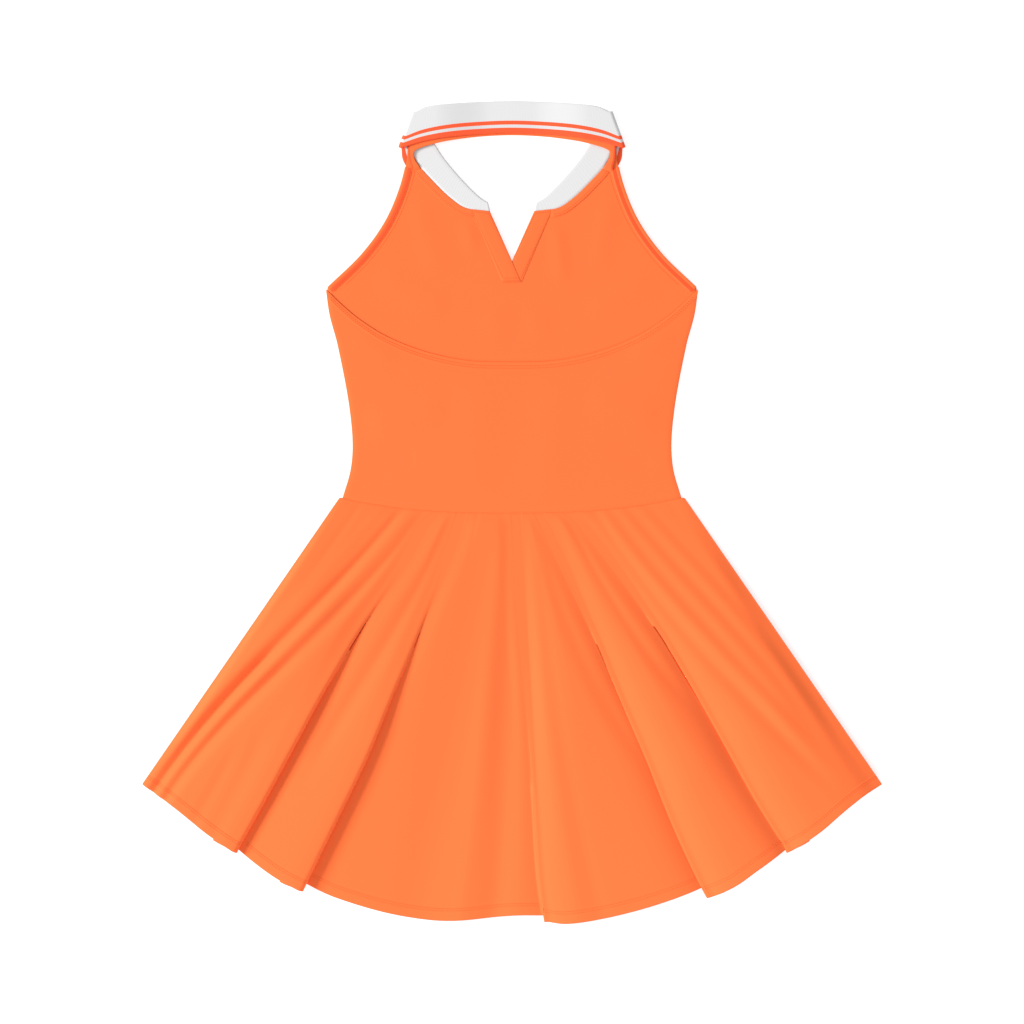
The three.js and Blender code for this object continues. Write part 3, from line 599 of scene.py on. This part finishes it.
# Creases of the bodice: x and down of both ends, rise and width
FRONT_CREASES = [
    (-48, 112, -36, 160, 0.7, 6),
    (44, 118, 50, 190, 0.8, 7),
    (-98, 92, -70, 180, 0.5, 12),
    (98, 90, 84, 176, 0.5, 11),
    (-140, 172, -60, 210, 0.5, 14),
    (146, 176, 70, 214, 0.5, 13),
    (-20, 196, -12, 250, 0.5, 14),
    (30, 200, 22, 250, 0.5, 12),
]
BACK_BODICE_CREASES = [
    (-150, 330, -60, 300, 0.5, 16),
    (152, 322, 70, 292, 0.5, 15),
    (-152, 372, -84, 350, -0.4, 12),
    (150, 368, 90, 344, -0.4, 13),
    (-30, 270, -44, 400, 0.4, 24),
    (46, 270, 34, 404, 0.4, 22),
    (-168, 232, -110, 262, 0.5, 10),
    (168, 230, 112, 258, 0.5, 10),
]


def front_height(x, down):
    lift = FRONT_LIFT * np.clip((RAMP_FROM - down) / (RAMP_FROM - RAMP_TO), 0, 1)
    return with_ridges(FRONT_MID + lift, x, down, FRONT_CREASES)


# Bodice
ARM_INSET, NECK_OUTSET, ROW_SPREAD = 0.8, 0.4, 1.3


def front_bodice():
    neck_steps, v_steps, centre_steps = 40, 16, 56
    columns = np.linspace(0, 1, 37)
    arm_steps = neck_steps + v_steps
    armhole = inset(plan_curve(ARMHOLE, arm_steps), ARM_INSET)
    fine = plan_curve(NECKLINE, 400)
    neck = inset(even(fine[fine[:, 1] >= FRONT_TOP_DOWN], neck_steps), -NECK_OUTSET)
    t = np.linspace(0, 1, v_steps + 1)[1:, None]
    corner = neck[-1]
    foot = np.array([0, V_DOWN + ARM_INSET])
    below = np.linspace(0, 1, centre_steps + 1)[1:]
    centre = np.stack([0 * below, lerp(foot[1], WAIST_DOWN, below ** ROW_SPREAD)], 1)
    inner = np.vstack([neck, lerp(corner, foot, t), centre])
    outer = np.vstack([armhole, plan_curve(SIDE, centre_steps)[1:]])
    x = lerp(inner[:, :1], outer[:, :1], columns)
    down = lerp(inner[:, 1:], outer[:, 1:], columns)
    bend = np.clip((np.arange(len(inner)) - arm_steps) / centre_steps, 0, 1)[:, None]
    down = down + bend * (waist_down(x) - lerp(WAIST_DOWN, float(waist_down(WAIST_HALF)), columns))
    down[-1] -= HALF_GAP
    right = np.stack([x, down, front_height(x, down)], -1)
    left = right[:, ::-1] * MIRROR
    left[..., 2] = front_height(left[..., 0], left[..., 1])
    return shell("soft_front_bodice", [right, left], JERSEY, jersey)


def edge_hem(distance):
    """Relief of the back's turned and stitched edge against the distance from it."""
    step, slope, groove, rim = 0.2, 0.35, 0.2, 0.1
    out = step * (1 - smooth((distance - EDGE_HEM + 0.5) / 1.2)) - slope * (1 - smooth(distance / 7))
    for row in EDGE_ROWS:
        out = out - groove * np.exp(-((distance - row) / STITCH_GROOVE) ** 2)
    return out - rim * (1 - smooth(distance / 1.2))


def back_bodice():
    depth = WAIST_DOWN - BACK_EDGE[0][1]
    near = np.array([0, 0.4, 1.1, 2.2, 3.0, 3.5, 4.0, 4.8, 5.5, 6.0, 6.5, 7.4, 8.2, 9, 10.5, 13])
    rows = np.concatenate([near / depth, np.linspace(near[-1] / depth, 1, 58)[1:-2],
                           [1 - 3 / depth, 1 - 1.5 / depth, 1 - 0.5 / depth, 1]])
    top_x, half_width, mean_half_width = BACK_EDGE[-1][0], 185, 170
    ends = np.array([0, 0.6, 1.6, 3.5, 6.5]) / half_width
    half = np.concatenate([-1 + ends, np.linspace(-1 + 10 / half_width, 0, 44)])
    c = np.concatenate([half, -half[::-1][1:]])[None, :]
    v = rows[:, None]
    side_down = lerp(float(back_edge_down(top_x)), float(waist_down(WAIST_HALF)), v)
    x = c * np.minimum(side_half(side_down), top_x + 1)
    down = lerp(back_edge_down(np.abs(c) * top_x), waist_down(c * WAIST_HALF), v)
    puff = BACK_PUFF * (1 - c ** 4) * np.sin(np.pi * v)
    from_side = (1 - np.abs(c)) * mean_half_width
    z = BACK_MID + puff + edge_hem(down - back_edge_down(np.abs(c) * top_x))
    z = z - SIDE_DIP * (1 - smooth(from_side / BODICE_SIDE_REACH))
    z = z - SEAM_DIP * (1 - smooth((waist_down(x) - down) / SEAM_DIP_REACH))
    z = with_ridges(z, x, down, BACK_BODICE_CREASES)
    down = np.where(v == 1, down - HALF_GAP, down)
    return shell("soft_back_bodice", [np.stack([x + 0 * v, down, z], -1)], JERSEY, jersey)


# Skirt
def polar(angle, reach):
    """The plan point at an angle and a reach from the apex."""
    a = np.radians(angle)
    return reach * np.sin(a), APEX_DOWN + reach * np.cos(a)


def waist_reach(angle):
    """The reach of the skirt's upper edge, found step by step."""
    a = np.radians(np.abs(angle))
    reach = (WAIST_DOWN - APEX_DOWN) / np.cos(a)
    for _ in range(12):
        reach = (waist_down(np.minimum(reach * np.sin(a), WAIST_HALF)) + HALF_GAP - APEX_DOWN) / np.cos(a)
    return reach


def line_angle(line, v):
    """The angle of a fold or crease at a share v of the length."""
    if "edge" not in line:
        return line["hem"] + (line["waist"] - line["hem"]) * np.clip(1 - v, 0, 1) ** line["curl"]
    if "curve" not in line:
        rows = []
        xs, hem = FOLD_EDGES[line["edge"]]
        for x, down in [*zip(xs, FOLD_DOWNS), hem]:
            angle = math.degrees(math.atan2(x, down - APEX_DOWN))
            near = float(waist_reach(angle))
            rows.append(((math.hypot(x, down - APEX_DOWN) - near) / (HEM_REACH - near), angle))
        line["curve"] = table_curve(rows)
    return float(line["curve"](v))


def fold_section(fold, v):
    """A fold's section: places along the hem, heights, shares of its columns, and the drop across it."""
    turn = math.pi * float(smooth(v / fold["opens"]))
    late = TUCK_FROM * min(fold["opens"], 1)
    tuck = fold["tuck"] * float(smooth((v - late) / (1 - late)))
    grow = lerp(GROWTH[fold["top"]], 1, float(smooth(v / GROWN_AT)))
    nose, inner = fold["nose"] * grow, fold["inner"] * grow
    wide = lerp(WAIST_ROUND, fold["round"], float(smooth(v / ROUND_AT)))
    drop = (nose + inner) * (1 - math.cos(turn)) + tuck * math.sin(turn)
    start = -wide * math.sin(min(turn, math.pi / 2))
    a = turn * np.linspace(0, 1, FOLD_ARC + 1)
    back = wide * float(smooth((turn - math.pi / 2) / (math.pi / 2)))
    along = np.where(a < math.pi / 2, start + wide * np.sin(a), -back * (1 - np.sin(a)))
    z = drop - nose * (1 - np.cos(a))
    t = np.linspace(0, 1, TUCK_COLUMNS + 1)[1:-1]
    end_along, end_z = along[-1] + tuck * math.cos(turn), z[-1] - tuck * math.sin(turn)
    b = a[::-1]
    far = end_along + inner * math.sin(turn)
    low = end_z - inner * (1 - math.cos(turn))
    along = np.concatenate([along, lerp(along[-1], end_along, t), far - inner * np.sin(b)])
    z = np.concatenate([z, lerp(z[-1], end_z, t), low + inner * (1 - np.cos(b))])
    share = np.linspace(0, 1, len(z))
    shaped = float(smooth(turn / BAND_TURN))
    along = lerp(lerp(-BAND_HALF, BAND_HALF, share), along, shaped)
    z = lerp(drop * (1 - smooth(share)), z, shaped)
    along = -fold["top"] * along
    if fold["top"] > 0:
        along, z, share = along[::-1], z[::-1], share[::-1]
    return along, z, share, drop


def crease_height(creases, angle, reach, v):
    out = 0 * angle
    open_out = float(smooth(v / CREASE_OPEN_AT))
    for c in creases:
        offset = np.radians(angle - line_angle(c, v)) * reach
        fade_in = smooth((v - c["start"] + CREASE_LEAD) / CREASE_FADE_IN)
        fade = float(fade_in * smooth((c["end"] - v) / CREASE_FADE))
        if fade > 0:
            width = c["width"] * lerp(WAIST_WIDTH_SHARE, 1, open_out)
            rise = c["rise"] * fade * lerp(WAIST_RISE_SHARE, 1, open_out)
            out = out + rise * np.exp(-(offset / width) ** 2)
    return out


def rounding(t, power=2):
    return 1 - (1 - np.clip(t, 0, 1)) ** power


def side_rise(near, upper, sign, distance, width):
    """How the cloth comes down from a fold: upper is the fold's top that makes this its upper side."""
    if not near:
        return 0
    fold, drop = near["fold"], near["drop"]
    if (fold["top"] == upper) != (sign > 0):
        return 0
    share = distance / width
    if fold["top"] < 0 or not fold.get("crest"):
        roll = ROLL_DEPTH * min(1.0, drop / FULL_DROP) * rounding(distance / ROLL_REACH) if upper < 0 else 0
        return (drop + roll) * lerp(1 - share, smooth(1 - share), SLOPE_ROUNDING)
    held = 1 - smooth((share - HELD_SHARE) / (1 - HELD_SHARE))
    return (drop + fold["crest"] * min(1.0, drop / FULL_DROP) * smooth(share / fold["reach"])) * held


def hem_angles(fold):
    """The angles at the hem where a fold meets the panels on its left and right."""
    along = fold_section(fold, 1.0)[0]
    return [line_angle(fold, 1.0) + math.degrees(along[i] / HEM_REACH) for i in (0, -1)]


def fold_row(fold, v, left_hem, right_hem, base):
    """The points of a fold in one row of a skirt panel."""
    angle = line_angle(fold, v)
    reach = lerp(float(waist_reach(angle)), left_hem, v)
    along, z, share, drop = fold_section(fold, v)
    if fold["top"] < 0:
        mix = smooth((share - HEM_MIX_FROM) / HEM_MIX_SPAN)
    else:
        mix = smooth((HEM_MIX_FROM + HEM_MIX_SPAN - share) / HEM_MIX_SPAN)
    return dict(fold=fold, angle=angle + np.degrees(along / reach), along=along, z=z, drop=drop,
                hem=lerp(left_hem, right_hem, mix), level=float(base(angle, v)))


LEFT_SIDE, RIGHT_SIDE = [0, 0.003, 0.009, 0.02], [0.98, 0.991, 0.997, 1]


def panel_shares(count, left, right):
    """Places of the columns between two folds, and closer together at a side seam."""
    t = np.linspace(0, 1, count + 1)
    t = t[1:] if left else np.concatenate([LEFT_SIDE, t[2:]])
    return t[:-1] if right else np.concatenate([t[:-2], RIGHT_SIDE])


def panel_row(v, t, hem, hem_ends, left, right, base, creases, sign):
    """Angles, heights and reaches of one row between two folds."""
    a0 = left["angle"][-1] if left else -HALF_ANGLE
    a1 = right["angle"][0] if right else HALF_ANGLE
    angle = lerp(a0, a1, t)
    reach = lerp(waist_reach(angle), hem(lerp(*hem_ends, t)), v)
    width = math.radians(a1 - a0) * float(reach.mean())
    from_left, from_right = np.radians(angle - a0) * reach, np.radians(a1 - angle) * reach
    z = base(angle, v) + side_rise(left, 1, sign, from_left, width)
    z = z + side_rise(right, -1, sign, from_right, width)
    quiet, calm, out_of_groove, swell = np.ones_like(t), 1.0, 1.0, 0.0
    for near, distance, hidden in ((left, from_left, left and -left["along"][-1]),
                                   (right, from_right, right and right["along"][0])):
        if near:
            seen = np.maximum(distance - max(hidden, 0), 0)
            quiet = np.minimum(quiet, seen / FOLD_QUIET)
            calm = np.minimum(calm, rounding(seen / SWELL_REACH, SWELL_POWER))
            out_of_groove = np.minimum(out_of_groove, smooth(seen / VEE_REACH))
            swell = max(swell, near["fold"].get("swell", 0))
    z = z + smooth(quiet) * crease_height(creases, angle, reach, v)
    if sign > 0:
        ease = 1 - VEE_EASE * smooth((v - VEE_EASE_FROM) / VEE_EASE_SPAN)
        z = z + swell * calm * float(smooth(v / SWELL_AT))
        z = z + VEE_RISE * out_of_groove * float(smooth(v / VEE_START) * ease)
        z = LOWEST_BACK + REST_SOFTNESS * np.logaddexp(0, (z - LOWEST_BACK) / REST_SOFTNESS)
    return angle, z, reach


def skirt_panel(name, folds, hem_reach, columns, base, creases, sign, rows):
    """One side of the skirt, its folds laid on its outer face: sign is 1 where that face is up."""
    hems = [table_curve(r) for r in hem_reach]
    ends = [hem_angles(fold) for fold in folds]
    bounds = [-HALF_ANGLE] + [a for pair in ends for a in pair] + [HALF_ANGLE]
    points, uvs = [], []
    for v in rows:
        laps = [fold_row(fold, v, float(hems[k](ends[k][0])), float(hems[k + 1](ends[k][1])), base)
                for k, fold in enumerate(folds)]
        parts = []
        for k, hem in enumerate(hems):
            left = laps[k - 1] if k else None
            right = laps[k] if k < len(laps) else None
            t = panel_shares(columns[k], left, right)
            parts.append(panel_row(v, t, hem, bounds[2 * k:2 * k + 2], left, right, base, creases, sign))
            if right:
                level = right["level"] + (right["z"] if sign > 0 else right["drop"] - right["z"])
                parts.append((right["angle"], level, lerp(waist_reach(right["angle"]), right["hem"], v)))
        angle, z, reach = map(np.concatenate, zip(*parts))
        x, down = polar(angle, reach)
        from_side = np.radians(HALF_ANGLE - np.abs(angle)) * reach
        to_hem = (reach - waist_reach(angle)) * (1 - v) / v if v > 0 else np.full_like(z, SKIRT_LENGTH)
        if sign > 0:
            z = z - SIDE_DIP * (1 - smooth(from_side / SKIRT_SIDE_REACH))
        z = z + sign * (hem_profile(to_hem) - SEAM_DIP * (1 - smooth(v * SKIRT_LENGTH / SEAM_DIP_REACH)))
        points.append(np.stack([x, down, z], -1))
        uvs.append(np.stack([x, np.full_like(x, v * SKIRT_LENGTH)], -1))
    return shell(name, [np.array(points)], JERSEY, jersey, [np.array(uvs)]), np.array(points)


def hem_profile(distance):
    """Relief of the skirt's hem against the distance from its edge."""
    step, groove, rim = 0.15, 0.13, 0.2
    out = step * (1 - smooth((distance - SKIRT_HEM) / 1.2))
    for row in HEM_LINES:
        out = out - groove * np.exp(-((distance - row) / STITCH_GROOVE) ** 2)
    return out - rim * (1 - smooth(distance / 1.0))


def skirt_back_base(angle, v):
    settle = np.where(np.asarray(angle) < 0, SETTLE_LEFT, SETTLE_RIGHT)
    inward = smooth((HALF_ANGLE - np.abs(angle)) / settle)
    return BACK_MID + SKIRT_AIR * inward * smooth(v / SETTLE_DEPTH)


def skirt_front_base(angle, v):
    return FRONT_MID + 0 * np.asarray(angle, float)


def skirt_rows(count):
    """Shares of the length, closer together at the waist seam and at the hem."""
    length = 400
    waist = np.array([0, 0.6, 1.4, 2.4, 4]) / length
    middle = np.linspace(8 / length, 1 - 19 / length, count)
    return np.concatenate([waist, middle, 1 - HEM_ROWS / length])


# Collar and strap
LAST = COLLAR_FRONT[-1]
AXIS = np.array([LAST["edgeX"] - LAST["foldX"], LAST["edgeDown"] - LAST["foldDown"]])
AXIS = AXIS / np.linalg.norm(AXIS)
OUTWARD = np.array([AXIS[1], -AXIS[0]])


def collar_station(row, turn):
    """The collar's section, turned over about its axis, and the distances from its free edge."""
    nose = (STAND_MID - FALL_MID) / 2
    seam = np.array([row["seamX"], row["seamDown"]])
    fold = np.array([row["foldX"], row["foldDown"]])
    edge = np.array([row["edgeX"], row["edgeDown"]])
    length, fall = np.linalg.norm(fold - seam), np.linalg.norm(fold - edge)
    bend = RIB / 2 + FOLD_SLACK + nose
    plan, height, across = [], [], []
    for t in np.linspace(0, 1, STAND_COLUMNS):
        s = t * (1 - bend / length)
        plan.append(lerp(seam, fold, s))
        height.append(STAND_MID)
        across.append(fall + length * (1 - s))
    for angle in np.radians(np.linspace(0, 180, NOSE_COLUMNS)[1:-1]):
        back = bend - nose * math.sin(angle)
        target = seam if angle <= math.pi / 2 else edge
        plan.append(fold + (target - fold) / np.linalg.norm(target - fold) * back)
        height.append(FALL_MID + nose + nose * math.cos(angle))
        across.append(fall + back * math.cos(angle))
    for t in np.linspace(0, 1, FALL_COLUMNS):
        s = lerp(bend / fall, 1, t)
        plan.append(lerp(fold, edge, s))
        height.append(FALL_MID)
        across.append(fall * (1 - s))
    plan, height = np.array(plan), np.array(height)
    radius = COLLAR_AXIS - height
    plan = plan + OUTWARD * (radius * math.sin(turn))[:, None]
    return np.column_stack([plan, COLLAR_AXIS - radius * math.cos(turn)]), np.array(across)


def sag(points):
    points = np.array(points)
    outward = smooth((np.abs(points[..., 0]) - SAG_FROM) / (SAG_TO - SAG_FROM))
    points[..., 2] -= COLLAR_SAG * (1 - outward)
    return points


def past_middle(row):
    """A station as it is on the other side of the centre line."""
    return {name: -value if name.endswith("X") else value for name, value in row.items()}


def with_other_half(half):
    """Rows from one end to the centre line, and the same rows mirrored."""
    return np.vstack([half, half[::-1][1:] * MIRROR])


def collar():
    per_row, turn_steps, seam_steps = 10, 14, 480
    seam = inset(plan_curve(NECKLINE, seam_steps), 0.3)

    def on_seam(row):
        p = seam[int(round(min(max(row["seam"], 0), 1) * seam_steps))]
        return dict(row, seamX=p[0], seamDown=p[1])
    stations = [collar_station(on_seam(r), 0) for r in fill_rows(COLLAR_FRONT, per_row)]
    stations += [collar_station(on_seam(LAST), math.pi * i / turn_steps) for i in range(1, turn_steps)]
    back = fill_rows(COLLAR_BACK + [past_middle(COLLAR_BACK[-2])], per_row)
    for row in back[:per_row * (len(COLLAR_BACK) - 1) + 1]:
        p, across = collar_station(row, math.pi)
        stations.append((sag(p), across))
    grid = with_other_half(np.array([s[0] for s in stations]))
    across = np.array([s[1] for s in stations])
    across = np.vstack([across, across[::-1][1:]])
    run = run_along(grid[:, STAND_COLUMNS + NOSE_COLUMNS // 2 - 1])
    uv = np.stack([np.repeat(run[:, None], grid.shape[1], 1), across], -1)
    return shell("soft_collar", [grid], RIB, rib, [uv])


def neck_strap():
    per_row, row_length = 8, 3.0
    rows = fill_rows(STRAP + [past_middle(STRAP[-2])], per_row)[:per_row * (len(STRAP) - 1) + 1]
    t = np.array([0, 0.06, 0.2, 0.4, 0.6, 0.8, 0.94, 1])
    line, uv = [], []
    for i, row in enumerate(rows):
        width = math.hypot(row["outerX"] - row["innerX"], row["outerDown"] - row["innerDown"])
        uv.append(np.column_stack([np.full(len(t), i * row_length), (1 - t) * width]))
        x, down = lerp(row["innerX"], row["outerX"], t), lerp(row["innerDown"], row["outerDown"], t)
        z = row["mid"] + 0.15 * np.sin(np.pi * t)
        p = np.column_stack([x, down, z])
        line.append(sag(p) if i >= per_row * STRAP_BACK_ROW else p)
    uv = np.array(uv)
    return shell("soft_neck_strap", [with_other_half(np.array(line))], JERSEY, strap_cloth,
                 [np.vstack([uv, uv[::-1][1:]])])


# Trims
TRIM_GAP, LAYER_GAP = 0.03, 0.12
END_DIP, END_DIP_REACH = 0.35, 3
STRIP_WIDTH, TAPE_FROM_X, TAPE_FROM_DOWN, BINDING_FROM_DOWN, BINDING_TO_DOWN = 8, 37.6, 67, 66, 186.3


def on_front(x, down, layer=0.0):
    """The height of the middle of a strip on the front; layer is 1 for one that lies on another."""
    return front_height(x, down) + JERSEY / 2 + TRIM_GAP + TRIM / 2 + layer * (TRIM + LAYER_GAP)


def edge_strip(name, points, width, side, material, profile):
    """A strip along an edge of the front; profile gives its relief against the share of its width."""
    shares = np.array([p[0] for p in profile])
    relief = np.array([p[1] for p in profile])
    grid, uv = [], []
    run = run_along(points)
    inner = smooth(run / END_DIP_REACH) * smooth((run[-1] - run) / END_DIP_REACH)
    for share, rise in zip(shares, relief):
        p = inset(points, width * share)
        z = on_front(side * p[:, 0], p[:, 1]) + rise - END_DIP * (1 - inner)
        grid.append(np.column_stack([side * p[:, 0], p[:, 1], z]))
        uv.append(np.column_stack([run, np.full_like(run, abs(width) * share)]))
    return shell(name, [np.array(grid)], TRIM, material, [np.array(uv)])


def neck_tape(word, side):
    points = plan_curve(NECKLINE, 240)
    keep = points[(points[:, 1] >= TAPE_FROM_DOWN) & (points[:, 0] >= TAPE_FROM_X)]
    profile = [(0, -0.1), (0.06, 0.0), (0.2, 0.06), (0.5, 0.08), (0.6, 0.08), (0.66, -0.04),
               (0.72, 0.04), (0.84, 0.02), (0.9, -0.12), (0.95, -0.18), (1, -0.32)]
    return edge_strip(f"soft_neck_tape_{word}", keep, -STRIP_WIDTH, side, jersey, profile)


def armhole_binding(word, side):
    points = plan_curve(ARMHOLE, 300)
    keep = points[(points[:, 1] >= BINDING_FROM_DOWN) & (points[:, 1] <= BINDING_TO_DOWN)]
    profile = [(0, -0.1), (0.06, 0.05), (0.2, 0.16), (0.34, 0.12), (0.41, -0.06), (0.48, 0.06),
               (0.62, 0.08), (0.8, 0.0), (0.93, -0.18), (1, -0.34)]
    return edge_strip(f"soft_armhole_binding_{word}", keep, STRIP_WIDTH, side, bound, profile)


PLACKET_TOP_X, PLACKET_TOP_DOWN, PLACKET_FOOT_DOWN, PLACKET_FOOT_X = 40.5, 108.6, 180.8, 10
PLACKET_CLIMB, PLACKET_CROSS_X = 24, 9


def placket(word, side):
    rows = []
    for t in np.linspace(0, 1, 46):
        f = np.array([0, 0.04, 0.12, 0.3, 0.5, 0.7, 0.88, 0.96, 1])
        outer_x = lerp(PLACKET_TOP_X, PLACKET_FOOT_X, t)
        inner_x = lerp(OPENING_HALF, -PLACKET_CROSS_X, t)
        top = lerp(PLACKET_TOP_DOWN, OPENING_DOWN, f)
        down = lerp(top, PLACKET_FOOT_DOWN, t)
        x = side * lerp(outer_x, inner_x, f)
        layer = smooth((down - OPENING_DOWN) / PLACKET_CLIMB) if side < 0 else 0 * down
        relief = 0.08 * np.sin(np.pi * f) - 0.28 * (1 - smooth(np.minimum(f, 1 - f) / 0.12))
        rows.append(np.column_stack([x, down, on_front(x, down, layer) + relief]))
    return shell(f"soft_placket_{word}", [np.array(rows)], TRIM, jersey)


# Pieces
front = front_bodice()
back = back_bodice()
skirt_back, back_points = skirt_panel("soft_skirt_back", BACK_FOLDS, BACK_HEM_REACH, BACK_COLUMNS,
                                      skirt_back_base, BACK_CREASES, 1, skirt_rows(92))
skirt_front, front_points = skirt_panel("soft_skirt_front", FRONT_FOLDS, FRONT_HEM_REACH, FRONT_COLUMNS,
                                        skirt_front_base, FRONT_SKIRT_CREASES, -1, skirt_rows(50))
collar_piece = collar()
strap = neck_strap()
trims = {}
for word, side in (("left", -1), ("right", 1)):
    trims[f"neck_tape_{word}"] = neck_tape(word, side)
    trims[f"armhole_binding_{word}"] = armhole_binding(word, side)
    trims[f"placket_{word}"] = placket(word, side)

pairs = {"front_bodice": front, "back_bodice": back, "skirt_back": skirt_back,
         "skirt_front": skirt_front, "collar": collar_piece, "neck_strap": strap, **trims}
for node, piece in pairs.items():
    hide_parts(node)


# Sewing
BACK_EDGE_HALF = 181.5
ARM_ROW, BINDING_ROW, NECK_ROWS = 10.5, 5.8, (5.3, 7.1)  # distances from the edges
ARM_SPAN, BINDING_SPAN, NECK_FROM_X, NECK_FROM_DOWN = (62, 176), (67, 182), 41, 66.5
# Ends of the rows along a placket strip's top, outer and inner edge, and of those across its foot
PLACKET_ROWS = [[(39.0, 110.8), (22.8, 113)], [(38.9, 111.6), (9, 177.3)], [(22.8, 113.5), (1.5, 157)]]
FOOT_ROWS = [[(-8.8, 179.4), (8.2, 179.4)], [(-8.8, 177.2), (8.2, 177.2)]]


def edge_stitches():
    face = face_of(back)
    x = np.linspace(-BACK_EDGE_HALF, BACK_EDGE_HALF, 240)
    lines = []
    for distance in EDGE_ROWS:
        lines += laid(face, np.column_stack([x, back_edge_down(np.abs(x)) + distance]))
    return stitches("edge_stitches", lines, length=1.8, pitch=2.7, radius=0.3)


def hem_stitches(name, piece, points, up):
    face, lines = face_of(piece, up), []
    for distance in HEM_LINES:
        row = points[list(HEM_ROWS).index(distance) - len(HEM_ROWS)]
        lines += laid(face, row[:, :2], row[:, 2] + up * JERSEY / 2)
    return stitches(name, lines, length=1.8, pitch=2.7, radius=0.24)


def stretch(line, edge, span):
    """The part of a line beside an edge that lies between two downs."""
    return line[(edge[:, 1] > span[0]) & (edge[:, 1] < span[1])]


def front_stitches():
    front_face = face_of(front)
    faces = {name: face_of(piece) for name, piece in trims.items()}
    neck, armhole = plan_curve(NECKLINE, 240), plan_curve(ARMHOLE, 300)
    on_arm = stretch(inset(armhole, ARM_ROW), armhole, ARM_SPAN)
    lines = laid(front_face, on_arm) + laid(front_face, on_arm * (-1, 1))
    for word, side in (("left", -1), ("right", 1)):
        for distance in NECK_ROWS:
            line = inset(neck, -distance)[(neck[:, 1] > NECK_FROM_DOWN) & (neck[:, 0] > NECK_FROM_X)]
            lines += laid(faces[f"neck_tape_{word}"], line * (side, 1))
        line = stretch(inset(armhole, BINDING_ROW), armhole, BINDING_SPAN)
        lines += laid(faces[f"armhole_binding_{word}"], line * (side, 1))
        for ends in PLACKET_ROWS:
            lines += laid(faces[f"placket_{word}"], np.linspace(*ends, 60) * (side, 1))
    for ends in FOOT_ROWS:
        lines += laid(faces["placket_left"], np.linspace(*ends, 50))
    return stitches("front_stitches", lines, length=1.6, pitch=2.3, radius=0.24)


back_rows = edge_stitches()
hem_back = hem_stitches("hem_stitches_back", skirt_back, back_points, 1)
hem_front = hem_stitches("hem_stitches_front", skirt_front, front_points, -1)
sewn_front = front_stitches()

# Stage, light and camera
FLOOR_HALF = 4000
LIGHT_AIM = (0, -0.12, 0)
CAMERA_HEIGHT, CAMERA_DOWN, PHOTO_WIDTH, SENSOR = 3.0, 0.411, 1.024, 36

corners = [(x * FLOOR_HALF, y * FLOOR_HALF, 0) for x, y in ((-1, -1), (1, -1), (1, 1), (-1, 1))]
floor = new_object("floor", corners, [(0, 1, 2, 3)])
stage = bpy.data.materials.new("stage")
stage.use_nodes = True
put(stage.node_tree.nodes["Principled BSDF"],
    {"Base Color": (0.55, 0.55, 0.55, 1), "Roughness": 1.0, "Specular IOR Level": 0.0,
     "Emission Color": (1, 1, 1, 1), "Emission Strength": 0.65})
floor.data.materials.append(stage)

world = bpy.data.worlds.new("studio")
bpy.context.scene.world = world
world.use_nodes = True
put(world.node_tree.nodes["Background"], {"Color": (1, 1, 1, 1), "Strength": 0.485})


def softbox(name, place, size, power):
    data = bpy.data.lights.new(name, "AREA")
    data.shape = "SQUARE"
    data.size = size
    data.energy = power
    light = bpy.data.objects.new(name, data)
    light.location = place
    aim = Vector(LIGHT_AIM) - light.location
    light.rotation_euler = aim.to_track_quat("-Z", "Y").to_euler()
    bpy.context.scene.collection.objects.link(light)


softbox("key", (-6.7, 1.3, 3.3), 2.4, 775)
softbox("fill", (0.35, -1.5, 1.2), 1.2, 15)

camera = bpy.data.objects.new("camera", bpy.data.cameras.new("camera"))
camera.data.sensor_width = SENSOR
camera.data.lens = SENSOR * CAMERA_HEIGHT / PHOTO_WIDTH
camera.location = (0, TOP * MM - CAMERA_DOWN, CAMERA_HEIGHT)
bpy.context.scene.collection.objects.link(camera)
bpy.context.scene.camera = camera
bpy.context.scene.view_settings.view_transform = "Standard"
